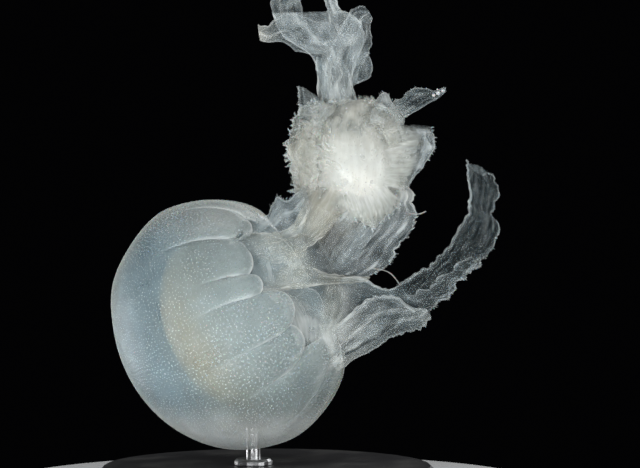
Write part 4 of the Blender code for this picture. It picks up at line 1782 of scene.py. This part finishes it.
@dataclass
class Arms:
    """The veils of the four arms, their flaps and the sheets round the mouth."""

    veils: tuple[Veil, ...] = (
        Veil("crown_back",
             ((21.2, -3, 161.1), (20.7, 2, 169.8), (20.7, 6, 176), (15.6, 8, 183),
              (7.1, 10, 188.2), (3.3, 10, 193.8), (2, 10, 199.3)),
             ((36.7, -3, 161.1), (35, 2, 169), (37.3, 8, 177.9), (40.3, 10, 185.3),
              (40.3, 10, 192.5), (36.4, 10, 197.6), (30.9, 10, 200.1)),
             folds=3, bow=-3, cover=0.155, white=0.16, base=0.15, fade=(0.1, 0.05),
             ribs=((0.4, 0.3),), rows=48, columns=24),
        Veil("crown_pocket",
             ((-3.9, -6, 192.2), (0.3, -6, 191.4), (6.5, -5, 196.9), (13.6, -5, 196.1),
              (21.2, -4, 193.6), (27, -3, 192.9)),
             ((-3, -6, 185.9), (1.1, -6, 185.1), (7, -6, 185.1), (12.8, -6, 181.3),
              (21.2, -5, 180.2), (30.4, -4, 181.9)),
             folds=1.5, fold=0.7, bow=3.0, cover=0.045, white=0.06, tear=0.6, base=0.5,
             fade=(0.0, 0.08), ribs=((0.62, 0.7), (0.82, 0.86)), rows=48, columns=22),
        Veil("crown_wing",
             ((24.5, 0, 175.6), (26.6, -4, 182.8), (29.1, -6, 188), (32, -5, 193.5),
              (35.4, -3, 198.8), (40.7, -2, 200.5)),
             ((36.3, 2, 168.1), (39.6, 0, 176.4), (42.1, -1, 180.9), (43.8, -1, 186),
              (42.6, -1, 191), (44, -1, 195.2)),
             folds=2.5, fold=0.6, bow=2.0, cover=0.085, white=0.12, tear=0.8, fade=(0.15, 0.0),
             slant=0.4, ribs=((0.25, 0.5), (0.62, 0.85)), fringe=Edge.RIGHT, leaf=0.6, rows=50,
             columns=24),
        Veil("crown_flap",
             ((35.5, 2, 180.8), (35.9, 1, 175.6), (35.4, 0, 171.4), (35.4, 0, 166.3)),
             ((41.4, 3, 181.7), (43.7, 2, 176.6), (43.3, 1, 171.4), (38, 0, 168.4)),
             fold=0.6, cover=0.09, rows=30, columns=16),
        Veil("left_strand",
             ((3.7, 13, 191.1), (2.1, 6, 198), (1.4, 0, 203.3), (1.9, -3, 208), (4, -5, 212.8),
              (7.4, -4, 217.9)),
             ((13.5, 13, 191.9), (14.4, 6, 198.9), (13.6, 0, 203.3), (12, -3, 208),
              (10.3, -5, 212.8), (9, -4, 217.9)),
             folds=2.5, fold=0.5, bow=2.0, cover=0.13, white=0.12, fade=(0.45, 0.0),
             ribs=((0.25, 0.4), (0.7, 0.6)), rows=44, columns=18),
        Veil("right_strand",
             ((25.4, 8, 186.4), (26.2, 10, 195), (24.6, 12, 202.5), (23.3, 13, 208.1),
              (24.5, 10, 212.9), (27.9, 7, 217.2)),
             ((34.7, 8, 187.2), (33.5, 10, 195), (30.5, 12, 200.8), (28.4, 13, 206.4),
              (29.2, 10, 212), (30, 7, 217.2)),
             folds=2.5, fold=0.5, bow=-1.5, white=0.15, fade=(0.4, 0.0), ribs=((0.5, 0.5),),
             columns=16),
        Veil("neck",
             ((17, -4.8, 143.4), (18.7, -5.7, 149.2), (20.3, -5, 155.5), (22.8, -2, 162.8),
              (24.1, -2, 168.7), (23.3, -2, 174.6), (22.8, -3, 179.5), (24.5, -4, 184.4)),
             ((39.4, -13.4, 143.1), (39.4, -14, 148.8), (39.5, -5, 155.5), (37.5, -1, 161.2),
              (35.4, -2, 167), (34.2, -2, 172.1), (33.3, -3, 177.8), (35.4, -4, 183.6)),
             folds=4.5, fold=0.6, bow=2.5, cover=0.05, white=0.06, cream=0.2, rib=1.2, base=0.12,
             fade=(0.4, 0.3), ribs=((0.3, 0.15), (0.55, 0.75)), rows=60, columns=32),
        Veil("neck_veil",
             ((20.7, -3.5, 179.1), (20.5, 3, 174.5), (21.6, 3, 168.6), (22.8, -3.5, 162.7)),
             ((24.9, -3.5, 179.1), (24.9, 2, 174), (25.4, 2, 168.6), (25.8, -3.5, 162.7)),
             folds=1, fold=0.4, bow=0.5, cover=0.1, white=0.05, rows=26, columns=12),
        Veil("spur",
             ((13.2, -5, 146.8), (13.4, -6, 152.6), (13.2, -6, 159.2), (13.1, -6, 166.7)),
             ((30.3, -9, 146.6), (27.8, -8, 154.1), (22.8, -7, 160.8), (16.2, -6, 165.1)),
             cover=0.07, cream=0.15, base=0.1, fade=(0.2, 0.0), thin=(0.0, 0.1), fringe=Edge.LEFT,
             leaf=0.8, rows=36, columns=22),
        Veil("left_knobs",
             ((14.9, -3, 151), (11.5, -4, 145.1), (8.6, -4, 141), (9.9, -4, 135.9),
              (12.8, -3, 131), (13.2, -4, 123.4)),
             ((21.2, -9, 150.7), (20.3, -11, 144.8), (19.5, -12, 140.6), (19.5, -11, 135.7),
              (19.5, -10, 130.8), (18.7, -8, 123.3)),
             folds=3, fold=0.9, bow=2.0, cover=0.22, white=0.12, cream=0.5, tear=1.5, ruffle=0.4,
             thin=(0.0, 0.5), fringe=Edge.LEFT, leaf=2.0, rows=52),
        Veil("top_frill",
             ((36.7, -1, 161.2), (41.3, -1, 159.1), (43.8, -2, 158.6), (45.5, -2, 162),
              (48.8, -2, 163.7), (52.2, -2, 160.7), (57.3, 0, 153.7)),
             ((34.5, -9, 149.1), (38.6, -11, 149.8), (41.9, -12, 150.6), (45.2, -12, 151.4),
              (48.6, -11, 151.5), (52, -8, 150.4), (56.3, -4, 148.5)),
             folds=3, fold=0.9, bow=1.0, cover=0.24, white=0.2, cream=0.2, tear=1.2, ruffle=0.9,
             thin=(0.0, 0.45), fringe=Edge.LEFT, rows=44),
        Veil("top_flap",
             ((49.8, 1, 156.3), (53.7, 1, 161.3), (56, 0, 161.7), (58.1, 0, 163.8),
              (60.6, -1, 165.6), (65.6, -2, 166.2), (69.7, -3, 164.9), (74.7, -4, 166)),
             ((54.8, 1, 150.4), (57.7, 1, 153.6), (60.6, 0, 155.8), (64, 0, 157.7),
              (66.9, -1, 159.5), (68.9, -2, 160.5), (71.4, -3, 162.1), (74.7, -4, 165.2)),
             folds=1.5, fold=0.5, cover=0.04, white=0.02, base=0.3, fringe=Edge.LEFT, leaf=0.5,
             rows=44, columns=16),
        Veil("right_flap",
             ((54.7, -2, 150.3), (53.7, -5, 141.8), (54.6, -4, 132.6), (56.4, -1, 123.5)),
             ((68.6, 0, 149.9), (70, -1, 141.5), (65, -1, 133.5), (58.5, 0, 124.7)),
             folds=6, fold=0.4, bow=2.0, cover=0.27, white=0.16, lace=0.5, base=0.1,
             fade=(0.2, 0.0), thin=(0.35, 0.0), fringe=Edge.RIGHT, rows=42, columns=24),
        Veil("arm_2",
             ((22.8, 3, 87.3), (28.3, 4, 93.2), (34.7, 5, 99.1), (39.7, 5, 104.2),
              (44.8, 4, 110.1), (49.8, 3, 116), (52.7, 2, 122.3), (53.5, 1, 128.5)),
             ((41.4, 2, 86.9), (48.5, 2, 90.3), (51.9, 2, 94.1), (54, 2, 98.3), (56.6, 3, 102.5),
              (61.1, 2, 107.9), (62.4, 1, 113.8), (60.3, 1, 118), (61.5, 0, 121), (57.7, 0, 126)),
             folds=3.5, fold=0.4, bow=3.0, cover=0.095, white=0.12, tear=1.1, ruffle=0.3, tip=0.4,
             slant=0.3, ribs=((0.3, 0.2), (0.55, 0.45), (0.8, 0.72)), fringe=Edge.RIGHT, rows=56,
             columns=26),
        Veil("window_veil",
             ((16.3, -29.5, 91.2), (20.4, -23, 98.5), (26.1, -17, 106.6), (32.4, -12, 114.9)),
             ((26.9, -18, 87.3), (34.4, -12, 93.4), (41.2, -5, 102.5), (47.2, -1, 110.9)),
             folds=1.5, fold=0.3, bow=1.0, cover=0.07, white=0.2, cream=0.15, thin=(0.15, 0.2),
             rows=28, columns=16),
        Veil("spotted_veil",
             ((24.9, -1, 92.4), (27.4, -2, 97.5), (30.8, -3, 102.5), (35.4, -3, 106.3),
              (40.4, -3, 109.2)),
             ((27.9, 2, 86.9), (33.8, 1, 89.4), (38.4, 0, 94.9), (41.7, -1, 100.8),
              (45, -2, 107.5)),
             folds=1.5, fold=0.7, cover=0.1, lace=0.5, rows=32),
        Veil("left_sheet",
             ((-8.8, -9, 115.8), (-4.1, -11, 113.3), (-1, -13, 112), (2.2, -14, 116.2),
              (4.6, -14, 120.3), (8.3, -13, 118.7), (13.3, -9, 122.5), (15.7, -6, 125)),
             ((-7, -13, 93.4), (-2, -15, 92.2), (2.2, -17, 93.1), (6.8, -18, 95.1),
              (10.9, -18, 98.4), (14.2, -17, 103.4), (16.2, -14, 109.1), (17.9, -11, 116.6)),
             fold=0.5, cover=0.22, tear=1.0, fade=(0.25, 0.2), ribs=((0.4, 0.3), (0.7, 0.8)),
             fringe=Edge.LEFT, rows=50, columns=26),
        Veil("mouth_band",
             ((4.2, -33, 91.2), (12.3, -32, 92), (18.8, -30, 91.2), (26.1, -24, 88.6),
              (34.4, -14, 87.6), (42.1, -4, 87)),
             ((-3.1, -33, 81.5), (7, -33, 82.3), (14.3, -32, 83.1), (24.4, -26, 84.6),
              (34.4, -15, 84.8), (41.6, -5, 85.4)),
             folds=1.5, fold=0.6, bow=0.8, cover=0.17, white=0.06, cream=0.45, fade=(0.2, 0.0),
             rows=42, columns=16),
        Veil("arm_3_base",
             ((30.4, -2, 87), (38.8, -1, 87), (45.1, -1, 84), (48.9, 0, 81.7), (52.2, 0, 82.3),
              (56.4, 0, 84.8)),
             ((31.3, 2, 68.8), (37.2, 2, 71.7), (42.2, 2, 75.1), (47.3, 2, 77.2), (53.6, 2, 76.4),
              (60.7, 2, 73.9)),
             fold=0.3, bow=1.2, cover=0.12, white=0.01, thin=(0.0, 0.4), ribs=((0.05, 0.05),),
             rows=34, columns=18),
        Veil("arm_3",
             ((54.8, 0, 84.4), (61.9, 0, 88), (68.2, 0, 92), (74, -1, 97.4), (79.2, -2, 105.4),
              (83.8, -3, 113.8), (84.7, -4, 119.2), (84.3, -4, 125.5), (83.5, -3, 131.4),
              (83.8, -2, 135.6)),
             ((52.3, 3, 76.3), (65.8, 2, 72.2), (71.2, 1, 76), (75.8, 0, 79.8), (76.6, 0, 82.7),
              (81.6, -1, 87), (85.3, -2, 90.3), (87.3, -3, 94.1), (92.7, -4, 96.6),
              (95.4, -6, 102.5), (96.7, -6, 108.8), (93.8, -6, 112.9), (95.1, -5, 118.4),
              (96.6, -4, 123.8), (95.3, -3, 127.2), (93.2, -3, 130.5), (90.5, -2, 129.7)),
             folds=5, fold=0.25, cover=0.006, white=0.0, tear=1.3, slant=1.6, ribs=((0.05, 0.04),),
             fringe=Edge.RIGHT, leaf=0.6, rows=112, columns=22),
        Veil("arm_3_band",
             ((59.1, 4, 78), (65.8, 3, 81), (71.2, 2, 85.2), (75.8, 1, 88.6), (80.4, 0, 92.4),
              (85.3, -2, 95.4)),
             ((66.1, 1, 71.8), (71.6, 0, 75.6), (76.5, -1, 80.2), (81.9, -2, 86.6), (86, -3, 89.9),
              (90.6, -4, 94.5)),
             fold=0.6, cover=0.055, white=0.11, tear=1.6, ruffle=2.0, lace=0.3, fringe=Edge.RIGHT,
             leaf=0.7, rows=60, columns=16),
        Veil("arm_4",
             ((13.8, -22, 57.5), (22.8, -24, 63.3), (31.8, -26, 70.7), (37.5, -27, 75.3),
              (43.2, -28, 79.4), (48.1, -26, 79.5), (53.1, -24, 79.2), (56, -22, 76.7),
              (60.2, -20, 72.6)),
             ((22.8, -17, 43.2), (31, -19, 50.3), (38.8, -21, 55), (45.8, -22, 59.1),
              (50.7, -22, 62.4), (55.6, -22, 64.4), (61.4, -21, 65.6), (64.7, -20, 67.6),
              (67.6, -19, 70.5)),
             folds=2.5, fold=0.5, bow=3.0, cover=0.045, white=0.06, tear=0.9, ruffle=0.3,
             base=0.36, tip=0.2, reach=0.38, fade=(0.06, 0.0), slant=0.2,
             ribs=((0.05, 0.03), (0.42, 0.3), (0.7, 0.62)), fringe=Edge.RIGHT, leaf=0.6, rows=64,
             columns=30),
        Veil("arm_4_inner",
             ((29.4, -25, 59.7), (37.1, -28, 64.7), (42.7, -29, 70.5), (48, -28, 75.3),
              (53, -25, 79.7)),
             ((33.5, -22, 55.4), (40.8, -23, 59.6), (48.2, -24, 63.7), (54.3, -23, 68.6),
              (58.9, -22, 73.5)),
             folds=1.5, fold=0.3, bow=2.0, cover=0.03, fade=(0.1, 0.25), rows=34, columns=18),
        Veil("root_fan",
             ((-13.6, -33, 105.4), (-2.3, -31, 105.4), (6.9, -26, 106.2), (12.6, -21, 111.2),
              (15.4, -17, 119.8)),
             ((-1.4, -35, 93.7), (7.4, -32, 93.3), (14.7, -26, 97.7), (22.8, -21, 103.8),
              (30.2, -17, 111.2)),
             folds=3.5, fold=0.35, bow=1.0, cover=0.15, white=0.06, cream=0.45, tip=0.15,
             fade=(0.35, 0.3), ribs=((0.2, 0.2), (0.55, 0.6), (0.85, 0.9)), rows=52, columns=28),
        Veil("cream_curtain",
             ((7.4, -31, 100.5), (7, -32, 93.7), (9, -32, 84.7)),
             ((17.1, -28, 102.6), (19.6, -29, 94.4), (21.6, -30, 84.7)),
             folds=2.5, fold=0.15, bow=1.0, cover=0.16, white=0.04, cream=0.45, fade=(0.3, 0.25),
             thin=(0.3, 0.45), rows=32),
        Veil("disc_sheet",
             ((-4, -31, 83.9), (2.6, -32, 78.3), (9.1, -33, 70.2), (13.1, -32, 58)),
             ((40.2, -12, 84.3), (38.5, -16, 77.8), (36, -20, 68.9), (29.3, -26, 56.9)),
             folds=1, fold=0.1, bow=0.4, cover=0.31, white=0.26, cream=0.25, ruffle=0.1,
             fade=(0.12, 0.15), thin=(0.0, 0.3), rows=30, columns=26),
        Veil("mouth_curtain",
             ((22, -30, 86.3), (22, -31, 75.8), (20.4, -31, 62.8)),
             ((33.1, -22, 86.2), (32.2, -25, 74.8), (29.3, -28, 62.7)),
             folds=3.5, fold=0.15, bow=0.6, cover=0.16, white=0.08, cream=0.4, fade=(0.3, 0.3),
             thin=(0.3, 0.4), rows=36),
        Veil("throat_sheet",
             ((-12.8, -33, 103.4), (-7.9, -34, 93.7), (-3.9, -34, 81.6)),
             ((19.6, -25, 103.4), (21.2, -26, 93.6), (21.2, -28, 83)),
             folds=2.5, fold=0.25, bow=0.6, white=0.08, cream=0.15, fade=(0.15, 0.15),
             thin=(0.1, 0.4), rows=30, columns=22),
        petal("left_petal",
              ((29.5, -8.1, 154.1), (25.3, -10, 148.2), (23.7, -11.3, 140.7), (23.7, -11.1, 132.4),
               (25.3, -8.9, 124.1), (27.8, -5.1, 117.9)),
              ((22, -1, 162.5), (14, -1, 157), (9.8, -1, 148.6), (8.6, -1, 140.2), (10.3, -1, 131),
               (11.9, -1, 122.6), (14.5, -2, 113.4)),
              folds=9, fold=1.0, leaf=2.0, rows=60, columns=13),
        petal("low_petal",
              ((24.5, -8.9, 125), (31.1, -10.1, 122.4), (39.4, -10.5, 122.4), (47.8, -9.9, 126.6)),
              ((20.3, -8, 113.3), (27, -10, 110), (33.6, -10, 113.3), (39.4, -10, 110.4),
               (44.5, -8, 107.5), (49.5, -6, 113.3), (56.3, -3, 117.6)),
              folds=13, fold=0.5, bow=2.5, cover=0.3, white=0.12, tear=2.4, leaf=1.8, rows=56),
        petal("right_petal",
              ((43.6, -11.5, 148.1), (47.7, -11.6, 142.3), (48.5, -11.6, 134.9),
               (45.7, -10.5, 125.8)),
              ((57.2, -2, 150.3), (63.1, -2, 147.7), (65.6, -2, 141.5), (62.6, -2, 133.5),
               (57.6, -2, 123.4)),
              folds=7, fold=0.35, cover=0.34, white=0.16, tear=0.6, fade=(0.25, 0.2),
              thin=(0.55, 0.25), fringe=Edge.NONE),
        petal("top_petal",
              ((27, -10.7, 148.2), (33.6, -11.3, 150.6), (40.3, -11.1, 150.6),
               (46.9, -10.5, 147.3)),
              ((24.5, -1, 159.5), (32.5, -1, 160), (38.8, -1, 158.3), (45.9, -1, 157.4),
               (52.2, -1, 157.9), (57.2, -1, 153.7)),
              folds=7, fold=0.9, leaf=1.4),
    )
    frill: Scatter = field(default_factory=lambda: Scatter(
        Growth.LEAF, variants=4, spacing=0.75, small=0.7, large=1.7, lean_low=-0.4,
        lean_high=0.4, stray=0.5))

    def __post_init__(self) -> None:
        """Numbers the veils, so that each has pleats of its own."""
        self.veils = tuple(replace(veil, seed=number)
                           for number, veil in enumerate(self.veils, 1))

    def fringes(self, finish: bpy.types.Material) -> list[bpy.types.Object]:
        """Small frill leaves along the free edges of the veils.

        Args:
            finish: their material.

        Returns:
            One piece for each fringed veil.
        """
        return [replace(self.frill, seed=veil.seed).build(veil.name + "_fringe", veil.host(),
                                                          finish)
                for veil in self.veils if veil.fringe is not Edge.NONE]


# ------------------------------------------------------------------ studio and main


@dataclass
class Studio:
    """Floor, lights and camera in metres; a lamp is its name, place, aim, side and watts."""

    eye: Triple = (0.022, -0.9, 0.105)
    lens: float = 120.5
    sensor: float = 36.0
    view_range: tuple[float, float] = (0.01, 20.0)
    floor_radius: float = 0.12
    floor_profile: tuple = ((0.6, 0.0), (0.985, 0.0), (0.996, -0.0015), (1.0, -0.004),
                            (1.0, -0.012))
    floor_sides: int = 128
    dark: Triple = (0.0008, 0.0008, 0.001)
    clear_layers: int = 40
    lamps: tuple = (("key", (-0.36, -1.15, 0.60), (0, 0, 0.10), 0.80, 10.2),
                    ("fill", (0.85, -0.95, 0.20), (0.02, 0, 0.09), 0.80, 9.6),
                    ("low", (-0.22, -0.80, -0.28), (-0.01, 0, 0.05), 0.50, 12.5),
                    ("top", (0.10, 0.05, 1.20), (0, 0, 0.10), 0.70, 4.2),
                    ("back_left", (-0.80, 0.50, -0.10), (-0.03, 0, 0.06), 0.50, 6.5),
                    ("back_right", (0.80, 0.70, 0.40), (0, 0, 0.12), 0.60, 4.5))

    def build(self) -> None:
        """Sets the whole studio up."""
        self.floor()
        for lamp in self.lamps:
            self.light(*lamp)
        scene = bpy.context.scene
        scene.world = bpy.data.worlds.new("studio_dark")
        scene.world.use_nodes = True
        background = scene.world.node_tree.nodes["Background"]
        background.inputs["Color"].default_value = rgba(self.dark)
        scene.view_settings.view_transform = "Standard"
        scene.cycles.transparent_max_bounces = self.clear_layers
        camera = bpy.data.cameras.new("camera")
        camera.lens, camera.sensor_width = self.lens, self.sensor
        camera.clip_start, camera.clip_end = self.view_range
        scene.camera = bpy.data.objects.new("camera", camera)
        scene.camera.location = self.eye
        scene.camera.rotation_euler = (math.pi / 2, 0, 0)
        scene.collection.objects.link(scene.camera)

    def floor(self) -> None:
        """A round pale floor with a soft edge."""
        rings = np.array([[(r * math.cos(a) * self.floor_radius,
                            r * math.sin(a) * self.floor_radius, z)
                           for a in round_places(self.floor_sides)]
                          for r, z in self.floor_profile]) / MM
        top, under = np.array([0, 0, 0.0]), np.array([0, 0, self.floor_profile[-1][1] / MM])
        floor = outward(loft_shell("floor", rings, top, under, {}).build())
        floor.data.materials.append(FloorFinish().make())

    def light(self, name: str, place: Triple, aim: Triple, size: float, power: float) -> None:
        """One soft lamp.

        Args:
            name: its name.
            place: where it hangs.
            aim: the point that it faces.
            size: side of its square.
            power: watts.
        """
        lamp = bpy.data.lights.new(name, "AREA")
        lamp.shape, lamp.size, lamp.energy = "SQUARE", size, power
        thing = bpy.data.objects.new(name, lamp)
        thing.location = place
        thing.rotation_euler = (Vector(aim) - Vector(place)).to_track_quat("-Z", "Y").to_euler()
        bpy.context.scene.collection.objects.link(thing)


def finish_piece(piece: bpy.types.Object) -> None:
    """Sets a piece on its body and reports it.

    Args:
        piece: the finished piece.
    """
    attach(piece, BODY)
    piece.data.calc_loop_triangles()
    LOG.info("%s: %d triangles", piece.name, len(piece.data.loop_triangles))


def main() -> None:
    """Builds the jellyfish, its stand and the studio."""
    logging.basicConfig(level=logging.INFO, format="%(name)s: %(message)s")
    for node, finish in (("stand_base", PaintFinish()), ("stand_rod", SteelFinish())):
        frame["nodes"][node].material_slots[0].material = finish.make()

    bell, arms, mass = Bell(), Arms(), FrillMass.from_frame()
    bodies = (bell, Manubrium(bell), Pillar(), mass, *arms.veils)
    skin = Skin([body.shell() for body in bodies], mass).build()
    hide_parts(*FLESH_NODES)
    finish_piece(skin)
    finish_piece(mass.heart(skin.data.materials[0]))

    wart = GrainFinish("wart_white", (0.42, 0.51, 0.53), (0.53, 0.60, 0.60), 0.14, 0.34)
    warts = Scatter(Growth.WART, spacing=1.6, small=0.8, large=1.35, seed=21)
    finish_piece(warts.build("bell_warts", bell.host(), wart.make()))
    grain = GrainFinish("grain_white", (0.46, 0.54, 0.56), (0.58, 0.64, 0.64), 0.3, 0.65)
    grains = Scatter(Growth.GRAIN, spacing=1.25, small=0.3, large=0.6, seed=22)
    finish_piece(grains.build("bell_grains", bell.host(even=True), grain.make()))

    # the leaves are painted paler near the mass's glow centre: painted glow
    leaf = GrainFinish("frill_leaf", (0.49, 0.51, 0.47), (0.59, 0.60, 0.57), 0.08, 0.24,
                       soft=0.15, roughness=0.6, core=tuple(c * MM for c in mass.bright),
                       reach=0.026)
    leaves = Scatter(Growth.LEAF, variants=6, spacing=1.4, small=2.5, large=6.0, lean_low=-0.1,
                     lean_high=0.4, stray=0.9, seed=23)
    finish_piece(leaves.build("mass_leaves", mass.host(), leaf.make()))
    fringe = GrainFinish("arm_fringe", (0.36, 0.42, 0.43), (0.60, 0.64, 0.63), 0.15, 0.4)
    finish_piece(join("arm_fringes", arms.fringes(fringe.make())))
    thread = GrainFinish("frill_thread", (0.15, 0.16, 0.16), (0.27, 0.28, 0.27), 0.5, 0.8)
    finish_piece(Threads().build(thread.make()))
    bead = GrainFinish("clear_bead", (0.55, 0.58, 0.59), (0.66, 0.69, 0.70), 0.35, 0.45,
                       roughness=0.05, gloss=1.0)
    finish_piece(Beads().build(bead.make()))

    Studio().build()


if __name__ == "__main__":
    main()
